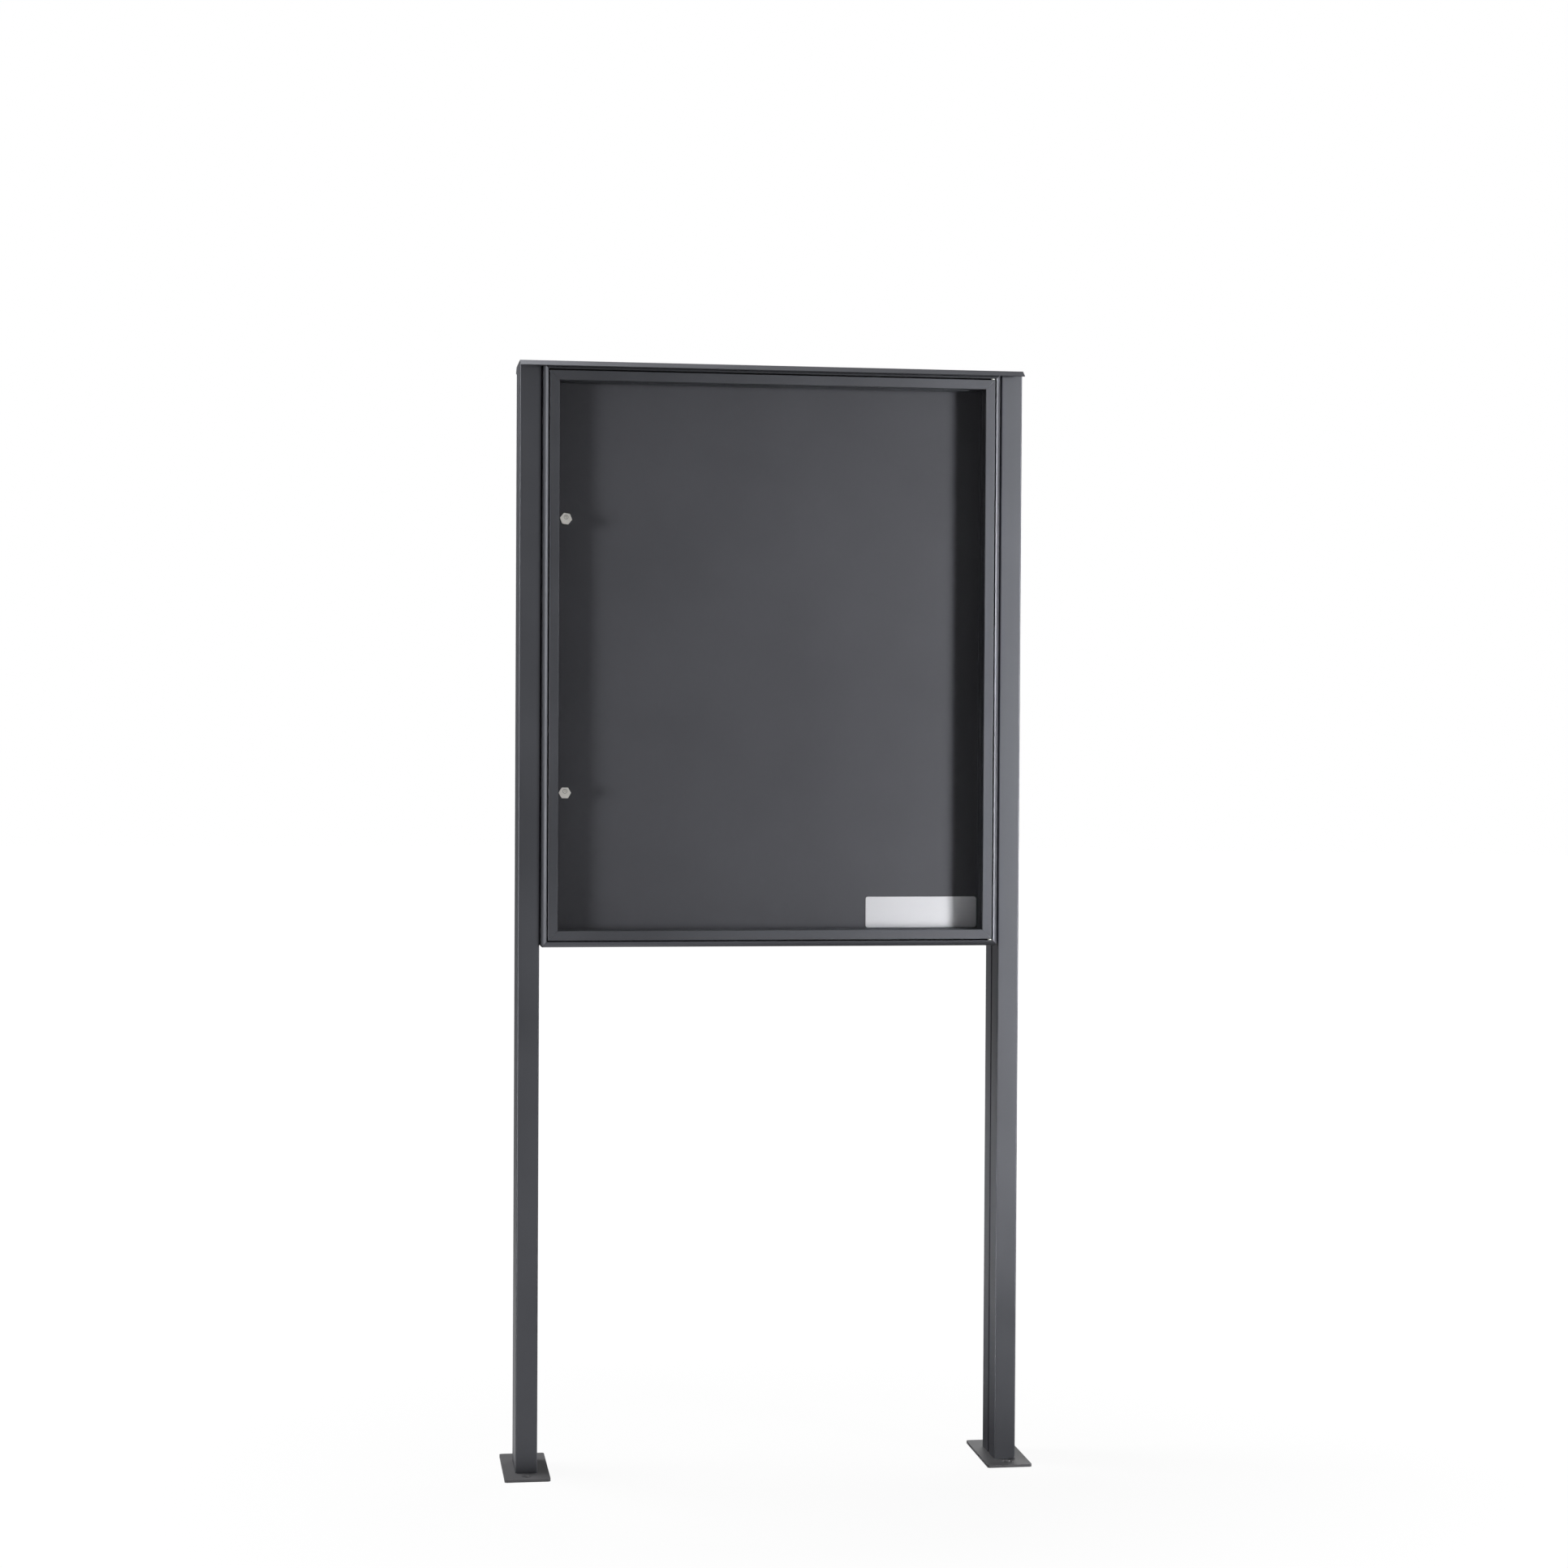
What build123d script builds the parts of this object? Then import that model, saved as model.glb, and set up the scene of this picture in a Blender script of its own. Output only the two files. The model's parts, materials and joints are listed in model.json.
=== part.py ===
from build123d import *
from math import asin, atan2, cos, degrees, pi, radians, sin, sqrt, tan
import os

# An outdoor notice board: a glazed case with a hinged, lockable door, bolted between two slotted posts
# on base plates, under a folded rain cap.
# Millimetres, +X to the right, -Y to the front, +Z up, origin on the ground midway between the posts.

# Overall layout
board_height = 2050.0        # ground to the top of the rain cap
post_spacing = 900.0         # between the post centres
fixed_clearance = 0.1        # between pieces that are fastened together
running_clearance = 0.06     # radial, between a turning piece and its bore

# Posts
post_width = 40.0
post_depth = 105.0
post_wall = 2.5
post_edge_radius = 2.5
slot_mouth = 10.0
slot_chamber_width = 18.0
slot_chamber_depth = 7.0
slot_wall = 2.0
port_inset = 17.5            # from the post's front and back to its screw ports
port_bore = 6.8
port_wall = 2.2
port_web = 2.0

# Base plates and their screws
plate_thickness = 5.0
plate_side = 22.0            # beside the post
plate_corner_radius = 5.0
anchor_clear = 22.5          # from the post's front and back to the anchor holes
anchor_edge = 25.0           # from the anchor holes to the plate's ends
anchor_hole = 13.0
anchor_countersink = 20.0
foot_head = 14.0
foot_length = 36.0
foot_recess = 0.3

# Rain cap and its screws
cap_thickness = 1.5
cap_setback = 8.5            # fold line behind the front of the case
cap_lip_run = 16.5
cap_lip_drop = 10.0
cap_bend_radius = 1.0        # inside the fold
cap_nose_clearance = 3.7     # between the lip and the rounded nose of the case
cap_head = 13.0
cap_head_height = 2.0
cap_screw_length = 26.0

# Case frame
case_height = 1073.0
case_protrusion = 13.5       # front of the case ahead of the posts' fronts
case_side_gap = 0.6          # between the case and each post
case_wall = 2.2
case_tail = 12.0             # side wall behind the fixing bolts
nose_radius = 10.5
nose_cut = 1.7               # how far short of its crest the rounding ends, at the door
nose_lean = 8.5              # degrees, how far the flanks of the nose lean inwards
nose_depth = 27.8            # front of the case to where the flanks meet its sides
case_flange = 2.5
rear_reach = 14.0            # reach of the flange behind the panel
mitre_gap = 0.3
clip_leg = 9.0               # clipped outer corners
corner_cap_thickness = 2.6
cleat_leg = 42.0
case_cleat_depth = 14.0

# Back panel
panel_setback = 56.0         # front of the case to the front of the panel
panel_thickness = 1.5
panel_play = 0.15
panel_edge_gap = 0.8

# Fixing of the case to the posts
bolt_inset = 150.0           # from the case's top and bottom
bolt_diameter = 6.0
bolt_flats = 10.0
bolt_head_height = 3.2
bolt_head_gap = 0.85         # between the head's flat and the flange behind the panel
bolt_tip_gap = 1.0           # between the bolt's end and the floor of the slot
slot_nut_thickness = 5.0
slot_nut_length = 20.0
slot_nut_play = 0.5

# Door frame
door_gap = 2.6
door_depth = 28.0
door_front_width = 17.7
door_box = 14.0              # width of the hollow part
door_lip = 2.5               # thickness of the lip in front of the pane
door_wall = 2.0
door_edge_radius = 0.8
seal_thickness = 3.4
seal_width = 8.0
seal_edge_gap = 1.0
seal_gap = 0.6

# Glazing
gasket_thickness = 1.5
gasket_setback = 0.4         # behind the edge of the lip
pane_thickness = 4.0
pane_edge_gap = 0.4
bead_width = 3.4
bead_foot = 3.0
bead_height = 10.0
bead_tip = 1.5

# Door pivots
pin_diameter = 3.5
pin_edge = 1.55              # from the door's edge to the pin
pin_hold = 20.0              # length held in the door
pin_engage = 2.8             # length turning in the case
swing_clearance = 0.4        # between the turning door corner and the case
bush_wall = 0.8
bush_rim = 1.0               # flange past the bush's shank
bush_length = 3.0
bush_gap = 0.3               # between the bush and the door

# Locks
lock_spacing = 502.0
lock_edge_gap = 2.4          # between the door lip and the barrel's flange
plug_diameter = 7.2
plug_stem = 6.0              # diameter behind the plug's head
plug_head_length = 10.0
plug_offset = 3.0            # above the barrel's axis
key_slot_width = 1.1
key_slot_height = 3.2
key_slot_depth = 8.0
drive_square = 4.0
barrel_wall = 0.54           # beside the plug
barrel_proud = 0.4           # past the nut
barrel_rim = 2.8             # flange past the barrel
barrel_flange_height = 3.0
barrel_end_gap = 0.4         # past the case lip, and again to the cam
lock_nut_wall = 2.55
lock_nut_height = 3.6
lock_nut_chamfer = 1.2
washer_rim = 0.4             # past the nut's flats
washer_thickness = 1.0
cam_thickness = 2.5
cam_width = 11.0
cam_reach = 16.5             # plug axis to the tip of the cam
cam_screw_diameter = 2.4
cam_screw_head = 6.5
cam_screw_head_height = 2.0
cam_screw_length = 7.0
nut_turns = {"upper": 51.0, "lower": 0.0}    # degrees, how far each nut happens to be tightened

# Levels and places that follow from the sizes above
post_height = board_height - cap_thickness - plate_thickness
post_top = plate_thickness + post_height
port_spacing = post_depth - 2 * port_inset
anchor_spacing = post_depth + 2 * anchor_clear
plate_width = post_width + 2 * plate_side
plate_depth = anchor_spacing + 2 * anchor_edge
foot_shank = port_bore - 2 * fixed_clearance

case_front = -(post_depth / 2 + case_protrusion)
case_half_width = (post_spacing - post_width) / 2 - case_side_gap
lean = radians(nose_lean)
nose_centre = nose_radius * cos(lean) + tan(lean) * (nose_depth - nose_radius + nose_radius * sin(lean))
nose_width = nose_centre - nose_cut
lip_front = door_depth + seal_gap + seal_thickness
lip_back = lip_front + case_flange
lip_reach = nose_width + door_gap + door_front_width
panel_flange_back = panel_setback - panel_play
panel_flange_front = panel_flange_back - case_flange
rear_flange_front = panel_setback + panel_thickness + panel_play
rear_flange_back = rear_flange_front + case_flange
bolt_depth = rear_flange_back + bolt_head_gap + bolt_flats / 2
case_depth = bolt_depth + case_tail
slot_line = case_front + bolt_depth

# The case stands as high as its rounded nose fits under the sloping lip of the cap
cap_fold = -case_front - cap_setback
cap_slope = atan2(cap_lip_drop, cap_lip_run)
fold_under = cap_fold - cap_thickness * tan(cap_slope / 2)
nose_ahead = -case_front - nose_radius - fold_under
nose_drop = (nose_radius + cap_nose_clearance + nose_ahead * sin(cap_slope)) / cos(cap_slope)
case_top = post_top + nose_centre - nose_drop
case_half_height = case_height / 2
case_middle = case_top - case_half_height

door_half_width = case_half_width - nose_width - door_gap
door_half_height = case_half_height - nose_width - door_gap
pane_front = door_lip + gasket_thickness
pane_back = pane_front + pane_thickness

# The pivot stands just far enough back for the door's front corner to turn past the case
corner_room = door_gap - swing_clearance
pivot_inset = pin_edge + pin_diameter / 2
pivot_depth = sqrt(corner_room * (corner_room + 2 * pivot_inset))
pivot_x = door_half_width - pivot_inset
pivot_y = case_front + pivot_depth
bush_shank = pin_diameter + 2 * running_clearance + 2 * bush_wall

barrel_diameter = 2 * (plug_offset + plug_diameter / 2 + running_clearance + barrel_wall)
barrel_flange = barrel_diameter + 2 * barrel_rim
lock_nut_flats = barrel_diameter + 2 * lock_nut_wall
lock_x = -(door_half_width - door_front_width - lock_edge_gap - barrel_flange / 2)
nut_back = pane_front - washer_thickness
nut_front = nut_back - lock_nut_height
barrel_front = nut_front - barrel_proud
barrel_end = lip_back + barrel_end_gap
cam_front = barrel_end + barrel_end_gap
cam_back = cam_front + cam_thickness

posts = {"left": -1, "right": 1}
uprights = {"upper": 1, "lower": -1}
frame_sides = {
    "left": (Vector(-1, 0, 0), Vector(0, 0, -1)),
    "right": (Vector(1, 0, 0), Vector(0, 0, 1)),
    "top": (Vector(0, 0, 1), Vector(-1, 0, 0)),
    "bottom": (Vector(0, 0, -1), Vector(1, 0, 0)),
}
frame_words = {"left": "left_stile", "right": "right_stile", "top": "top_rail", "bottom": "bottom_rail"}
port_places = [(x * post_spacing / 2, y * port_spacing / 2) for x in (-1, 1) for y in (-1, 1)]
bolt_levels = [case_middle + s * (case_half_height - bolt_inset) for s in (1, -1)]
door_edges = {name: case_middle + s * door_half_height for name, s in uprights.items()}
lock_levels = {name: case_middle + s * lock_spacing / 2 for name, s in uprights.items()}
os.makedirs("parts", exist_ok=True)


def save(piece, name):
    piece.label = name
    export_step(piece, f"parts/{name}.step")


# Screws turned about Z, with the outer end of the head on the origin
def countersunk_screw(head, shank, length):
    with BuildPart() as screw:
        with BuildSketch(Plane.XZ):
            with BuildLine():
                Polyline((0, 0), (head / 2, 0), (shank / 2, (head - shank) / 2), (shank / 2, length),
                         (0, length), close=True)
            make_face()
        revolve(axis=Axis.Z)
    return screw.part


def round_head_screw(head, head_height, shank, length):
    with BuildPart() as screw:
        with BuildSketch(Plane.XY):
            Circle(head / 2)
        extrude(amount=head_height)
        with BuildSketch(Plane.XY.offset(head_height)):
            Circle(shank / 2)
        extrude(amount=length)
    return screw.part


def hexagon_bolt(flats, head_height, shank, length):
    with BuildPart() as bolt:
        with BuildSketch(Plane.XY):
            RegularPolygon(flats / 2, 6, major_radius=False)
        extrude(amount=head_height)
        with BuildSketch(Plane.XY.offset(head_height)):
            Circle(shank / 2)
        extrude(amount=length)
    return bolt.part


# Posts: hollow extrusions with a slot in the inner side and two screw ports
for side_name, side in posts.items():
    centre = side * post_spacing / 2
    inner_face = centre - side * post_width / 2
    slot_block = post_wall + slot_chamber_depth + slot_wall
    with BuildPart() as post:
        with BuildSketch(Plane.XY.offset(plate_thickness)):
            with Locations((centre, 0)):
                RectangleRounded(post_width, post_depth, post_edge_radius)
                Rectangle(post_width - 2 * post_wall, post_depth - 2 * post_wall, mode=Mode.SUBTRACT)
            with Locations((inner_face + side * slot_block / 2, slot_line)):
                Rectangle(slot_block, slot_chamber_width + 2 * slot_wall)
            with Locations((centre, port_spacing / 2), (centre, -port_spacing / 2)):
                Rectangle(post_width - 2 * post_wall, port_web)
                Circle(port_bore / 2 + port_wall)
                Circle(port_bore / 2, mode=Mode.SUBTRACT)
            with Locations((inner_face + side * (post_wall + slot_chamber_depth / 2), slot_line)):
                Rectangle(slot_chamber_depth, slot_chamber_width, mode=Mode.SUBTRACT)
            with Locations((inner_face + side * post_wall / 2, slot_line)):
                Rectangle(post_wall, slot_mouth, mode=Mode.SUBTRACT)
        extrude(amount=post_height)
    save(post.part, f"{side_name}_post")

# Base plates, with anchor holes in front of and behind the post and screw holes under its ports
for side_name, side in posts.items():
    centre = side * post_spacing / 2
    anchor_places = [(centre, s * anchor_spacing / 2, plate_thickness) for s in (1, -1)]
    foot_places = [Location((centre, s * port_spacing / 2, 0), (180, 0, 0)) for s in (1, -1)]
    with BuildPart() as base_plate:
        with BuildSketch(Plane.XY):
            with Locations((centre, 0)):
                RectangleRounded(plate_width, plate_depth, plate_corner_radius)
        extrude(amount=plate_thickness)
        with Locations(*anchor_places):
            CounterSinkHole(anchor_hole / 2, anchor_countersink / 2, counter_sink_angle=90)
        with Locations(*foot_places):
            CounterSinkHole(port_bore / 2, foot_head / 2 + foot_recess + fixed_clearance, counter_sink_angle=90)
    save(base_plate.part, f"{side_name}_base_plate")

foot_screw = countersunk_screw(foot_head, foot_shank, foot_length)
with BuildPart() as foot_screws:
    with Locations(*[(x, y, foot_recess) for x, y in port_places]):
        add(foot_screw)
save(foot_screws.part, "foot_screws")

# Rain cap: a flat top folded down into sloping lips along the front and the back
cap_length = post_spacing + post_width
lip_end = cap_fold + cap_lip_run
lip_level = board_height - cap_lip_drop
under_end = lip_end - cap_thickness * sin(cap_slope)
under_level = lip_level - cap_thickness * cos(cap_slope)
with BuildPart() as rain_cap:
    with BuildSketch(Plane.YZ) as sheet:
        with BuildLine():
            Polyline((-lip_end, lip_level), (-cap_fold, board_height), (cap_fold, board_height),
                     (lip_end, lip_level), (under_end, under_level), (fold_under, post_top),
                     (-fold_under, post_top), (-under_end, under_level), close=True)
        make_face()
        levels = sheet.vertices().group_by(Axis.Y)
        fillet(levels[-2], cap_bend_radius)
        fillet(sheet.vertices().group_by(Axis.Y)[-1], cap_bend_radius + cap_thickness)
    extrude(amount=cap_length / 2, both=True)
    with Locations(*[(x, y, board_height) for x, y in port_places]):
        Hole(port_bore / 2 + fixed_clearance)
save(rain_cap.part, "rain_cap")

cap_screw = round_head_screw(cap_head, cap_head_height, foot_shank, cap_screw_length)
cap_screw_places = [Location((x, y, board_height + cap_head_height), (180, 0, 0)) for x, y in port_places]
with BuildPart() as cap_screws:
    with Locations(*cap_screw_places):
        add(cap_screw)
save(cap_screws.part, "cap_screws")


# Mitred frames: a profile drawn with x outward and y to the back, run along one side of a rectangle
def mitred_member(side_name, draw_profile, half_width, half_height, clip=0.0):
    outward, along = frame_sides[side_name]
    half, reach = (half_width, half_height) if side_name in posts else (half_height, half_width)
    profile = draw_profile(Plane(origin=(0, 0, case_middle), x_dir=outward, z_dir=along), half)
    with BuildPart() as member:
        extrude(profile, amount=reach, both=True)
        for end in (1, -1):
            corner = Vector(0, 0, case_middle) + outward * half + along * (end * reach)
            mitre = (along * end - outward).normalized()
            split(bisect_by=Plane(origin=corner - mitre * (mitre_gap / 2), z_dir=mitre), keep=Keep.BOTTOM)
            if clip > 0:
                diagonal = (along * end + outward).normalized()
                clip_origin = corner - diagonal * (clip / sqrt(2))
                split(bisect_by=Plane(origin=clip_origin, z_dir=diagonal), keep=Keep.BOTTOM)
    return member.part


# Case profile: rounded hollow nose, lip that the door closes on, and a groove for the back panel
def case_profile(plane, half):
    def at(inward, depth):
        return (half - inward, case_front + depth)

    nose_start = degrees(asin(nose_cut / nose_radius))
    hollow_start = degrees(asin((nose_cut + case_wall) / (nose_radius - case_wall)))
    nose_end = 90 - nose_lean
    hollow_end = nose_depth + case_wall * tan(lean / 2)
    with BuildSketch(plane) as profile:
        with BuildLine():
            rounding = CenterArc(at(nose_centre, nose_radius), nose_radius, nose_start - 90, nose_end - nose_start)
            Polyline(rounding @ 1, at(0, nose_depth), at(0, case_depth), at(case_wall, case_depth),
                     at(case_wall, rear_flange_back), at(rear_reach, rear_flange_back),
                     at(rear_reach, rear_flange_front), at(case_wall, rear_flange_front),
                     at(case_wall, panel_flange_back), at(lip_reach, panel_flange_back),
                     at(lip_reach, panel_flange_front), at(case_wall, panel_flange_front),
                     at(case_wall, lip_back), at(lip_reach, lip_back), at(lip_reach, lip_front),
                     at(nose_width, lip_front), rounding @ 0)
        make_face()
        with BuildLine():
            hollow = CenterArc(at(nose_centre, nose_radius), nose_radius - case_wall, hollow_start - 90,
                               nose_end - hollow_start)
            Polyline(hollow @ 1, at(case_wall, hollow_end), at(case_wall, lip_front),
                     at(nose_width - case_wall, lip_front), hollow @ 0)
        make_face(mode=Mode.SUBTRACT)
    return profile.sketch


for side_name in frame_sides:
    whole_member = mitred_member(side_name, case_profile, case_half_width, case_half_height, clip_leg)
    with BuildPart() as case_member:
        add(whole_member)
        if side_name in posts:
            wall_x = posts[side_name] * (case_half_width - case_wall / 2)
            with Locations(*[(wall_x, slot_line, level) for level in bolt_levels]):
                Cylinder(bolt_diameter / 2 + fixed_clearance, 2 * case_wall, rotation=(0, 90, 0),
                         mode=Mode.SUBTRACT)
        else:
            rise = 1 if side_name == "top" else -1
            rebate = case_middle + rise * (case_half_height - nose_width)
            hole_depth = bush_length + fixed_clearance
            with Locations((pivot_x, pivot_y, rebate + rise * hole_depth / 2)):
                Cylinder(bush_shank / 2 + fixed_clearance, hole_depth, mode=Mode.SUBTRACT)
    save(case_member.part, f"case_{frame_words[side_name]}")


# Corner cleats: angles that sit inside the hollows of two mitred members
def corner_cleats(half_width, half_height, inset, width, corner_cut, front, depth):
    with BuildPart() as cleats:
        for sx in (1, -1):
            for sz in (1, -1):
                x = sx * (half_width - inset)
                z = case_middle + sz * (half_height - inset)
                with BuildSketch(Plane.XZ.offset(-(front + depth))):
                    with BuildLine():
                        Polyline((x, z - sz * corner_cut), (x, z - sz * cleat_leg),
                                 (x - sx * width, z - sz * cleat_leg), (x - sx * width, z - sz * width),
                                 (x - sx * cleat_leg, z - sz * width), (x - sx * cleat_leg, z),
                                 (x - sx * corner_cut, z), close=True)
                    make_face()
                extrude(amount=depth)
    return cleats.part


case_cleat_front = lip_front - fixed_clearance - case_cleat_depth
flank_inset = (nose_depth - case_cleat_front) * tan(lean) + case_wall / cos(lean)
case_cleat_inset = max(flank_inset, case_wall) + fixed_clearance
case_cleat_cut = max(clip_leg - 2 * case_cleat_inset, 0) + 4 * fixed_clearance
case_cleats = corner_cleats(case_half_width, case_half_height, case_cleat_inset,
                            nose_width - case_wall - fixed_clearance - case_cleat_inset, case_cleat_cut,
                            case_front + case_cleat_front, case_cleat_depth)
save(case_cleats, "case_corner_cleats")

# Dark caps on the clipped corners of the case, tapered at the front as the flanks of the nose are
with BuildPart() as corner_caps:
    cap_leg = clip_leg - fixed_clearance * sqrt(2)
    outer_leg = cap_leg - corner_cap_thickness * sqrt(2)
    flank_level = case_front + nose_depth
    for sx in (1, -1):
        for sz in (1, -1):
            x = sx * case_half_width
            z = case_middle + sz * case_half_height
            with BuildSketch(Plane.XZ.offset(-(case_front + case_depth))):
                with BuildLine():
                    Polyline((x, z - sz * cap_leg), (x, z - sz * outer_leg), (x - sx * outer_leg, z),
                             (x - sx * cap_leg, z), close=True)
                make_face()
            extrude(amount=case_depth - nose_radius)
    for side in (1, -1):
        side_flank = Plane(origin=(side * case_half_width, flank_level, 0), z_dir=(side * cos(lean), -sin(lean), 0))
        split(bisect_by=side_flank, keep=Keep.BOTTOM)
        end_flank = Plane(origin=(0, flank_level, case_middle + side * case_half_height),
                          z_dir=(0, -sin(lean), side * cos(lean)))
        split(bisect_by=end_flank, keep=Keep.BOTTOM)
save(corner_caps.part, "case_corner_caps")

# Back panel, held in the groove of the case
panel_inset = case_wall + panel_edge_gap
with BuildPart() as back_panel:
    with BuildSketch(Plane.XZ.offset(-(case_front + panel_setback + panel_thickness))) as panel_face:
        with Locations((0, case_middle)):
            Rectangle(2 * (case_half_width - panel_inset), 2 * (case_half_height - panel_inset))
        chamfer(panel_face.vertices(), clip_leg)
    extrude(amount=panel_thickness)
save(back_panel.part, "back_panel")

# Bolts through the case's sides into nuts in the post slots
slot_floor = post_spacing / 2 - post_width / 2 + post_wall + slot_chamber_depth
bolt_length = slot_floor - bolt_tip_gap - (case_half_width - case_wall)
bolt_head_x = case_half_width - case_wall - bolt_head_height
fixing_bolt = hexagon_bolt(bolt_flats, bolt_head_height, bolt_diameter, bolt_length)
bolt_places = [Location((side * bolt_head_x, slot_line, level), (0, side * 90, 0))
               for side in posts.values() for level in bolt_levels]
with BuildPart() as fixing_bolts:
    with Locations(*bolt_places):
        add(fixing_bolt)
save(fixing_bolts.part, "case_fixing_bolts")

slot_nut_x = slot_floor - slot_chamber_depth + fixed_clearance + slot_nut_thickness / 2
with BuildPart() as slot_nuts:
    with Locations(*[(side * slot_nut_x, slot_line, level) for side in posts.values() for level in bolt_levels]):
        Box(slot_nut_thickness, slot_chamber_width - 2 * slot_nut_play, slot_nut_length)
        Cylinder(bolt_diameter / 2 + fixed_clearance, 2 * slot_nut_thickness, rotation=(0, 90, 0),
                 mode=Mode.SUBTRACT)
save(slot_nuts.part, "slot_nuts")


# Flat strips cut to length and laid round the opening, the upright ones running from end to end
def strips(half_width, half_height, width, front, thickness):
    with BuildPart() as four_strips:
        with BuildSketch(Plane.XZ.offset(-(front + thickness))):
            with Locations((half_width - width / 2, case_middle), (width / 2 - half_width, case_middle)):
                Rectangle(width, 2 * half_height)
            cross_length = 2 * (half_width - width - fixed_clearance)
            cross_level = half_height - width / 2
            with Locations((0, case_middle + cross_level), (0, case_middle - cross_level)):
                Rectangle(cross_length, width)
        extrude(amount=thickness)
    return four_strips.part


seal_inset = nose_width + seal_edge_gap
door_seal = strips(case_half_width - seal_inset, case_half_height - seal_inset, seal_width,
                   case_front + lip_front - seal_thickness, seal_thickness)
save(door_seal, "door_seal")


# Door profile: a hollow box with a lip in front of the pane
def door_profile(plane, half):
    def at(inward, depth):
        return (half - inward, case_front + depth)

    with BuildSketch(plane) as profile:
        with BuildLine():
            Polyline(at(0, 0), at(0, door_depth), at(door_box, door_depth), at(door_box, door_lip),
                     at(door_front_width, door_lip), at(door_front_width, 0), close=True)
        make_face()
        fillet(profile.vertices().group_by(Axis.Y)[0], door_edge_radius)
        with Locations(at(door_box / 2, door_depth / 2)):
            Rectangle(door_box - 2 * door_wall, door_depth - 2 * door_wall, mode=Mode.SUBTRACT)
    return profile.sketch


pin_hole_radius = pin_diameter / 2 + fixed_clearance
pin_hole_places = [(pivot_x, pivot_y, door_edges[name] - s * pin_hold / 2) for name, s in uprights.items()]
for side_name in frame_sides:
    whole_member = mitred_member(side_name, door_profile, door_half_width, door_half_height)
    with BuildPart() as door_member:
        add(whole_member)
        if side_name != "left":
            with Locations(*pin_hole_places):
                Cylinder(pin_hole_radius, pin_hold + 2 * fixed_clearance, mode=Mode.SUBTRACT)
    save(door_member.part, f"door_{frame_words[side_name]}")

door_cleat_inset = door_wall + fixed_clearance
whole_cleats = corner_cleats(door_half_width, door_half_height, door_cleat_inset,
                             door_box - 2 * door_cleat_inset, 4 * fixed_clearance,
                             case_front + door_cleat_inset, door_depth - 2 * door_cleat_inset)
with BuildPart() as door_cleats:
    add(whole_cleats)
    with Locations(*pin_hole_places):
        Cylinder(pin_hole_radius, pin_hold + 2 * fixed_clearance, mode=Mode.SUBTRACT)
save(door_cleats.part, "door_corner_cleats")

# Pane, with its gasket in front and its beads behind
pane_inset = door_box + pane_edge_gap
with BuildPart() as door_pane:
    with BuildSketch(Plane.XZ.offset(-(case_front + pane_back))):
        with Locations((0, case_middle)):
            Rectangle(2 * (door_half_width - pane_inset), 2 * (door_half_height - pane_inset))
        with Locations(*[(lock_x, level) for level in lock_levels.values()]):
            Circle(barrel_diameter / 2 + 2 * fixed_clearance, mode=Mode.SUBTRACT)
    extrude(amount=pane_thickness)
save(door_pane.part, "door_pane")

bead_inset = door_box + fixed_clearance
gasket_width = door_front_width - gasket_setback - bead_inset
glazing_gasket = strips(door_half_width - bead_inset, door_half_height - bead_inset, gasket_width,
                        case_front + door_lip, gasket_thickness)
save(glazing_gasket, "glazing_gasket")


def bead_profile(plane, half):
    def at(inward, depth):
        return (half - inward, case_front + pane_back + depth)

    with BuildSketch(plane) as profile:
        with BuildLine():
            Polyline(at(0, fixed_clearance), at(bead_width, fixed_clearance), at(bead_width, bead_foot),
                     at(bead_tip, bead_height), at(0, bead_height), close=True)
        make_face()
    return profile.sketch


for side_name in frame_sides:
    bead = mitred_member(side_name, bead_profile, door_half_width - bead_inset, door_half_height - bead_inset)
    save(bead, f"glazing_bead_{side_name}")

# Pivot pins held in the door, and flanged bushes held in the case
pin_length = pin_hold + door_gap + pin_engage
bush_flange_height = door_gap - bush_gap
for name, rise in uprights.items():
    rebate = door_edges[name] + rise * door_gap
    with BuildPart() as hinge_pin:
        with Locations((pivot_x, pivot_y, door_edges[name] + rise * (pin_length / 2 - pin_hold))):
            Cylinder(pin_diameter / 2, pin_length)
    save(hinge_pin.part, f"{name}_hinge_pin")

    with BuildPart() as hinge_bush:
        with Locations((pivot_x, pivot_y, rebate - rise * bush_flange_height / 2)):
            Cylinder(bush_shank / 2 + bush_rim, bush_flange_height)
        with Locations((pivot_x, pivot_y, rebate + rise * bush_length / 2)):
            Cylinder(bush_shank / 2, bush_length)
        with Locations((pivot_x, pivot_y, rebate)):
            Cylinder(pin_diameter / 2 + running_clearance, 4 * bush_length, mode=Mode.SUBTRACT)
    save(hinge_bush.part, f"{name}_hinge_bush")


# Locks: drawn looking at the front, with y up and z towards the viewer
def lock_plane(level, depth, rise=0.0):
    return Plane(origin=(lock_x, case_front + depth, level + rise), x_dir=(1, 0, 0), z_dir=(0, -1, 0))


with BuildPart() as lock_washers:
    for level in lock_levels.values():
        with BuildSketch(lock_plane(level, pane_front)):
            Circle(lock_nut_flats / 2 + washer_rim)
            Circle(barrel_diameter / 2 + fixed_clearance, mode=Mode.SUBTRACT)
        extrude(amount=washer_thickness)
save(lock_washers.part, "lock_washers")

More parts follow.
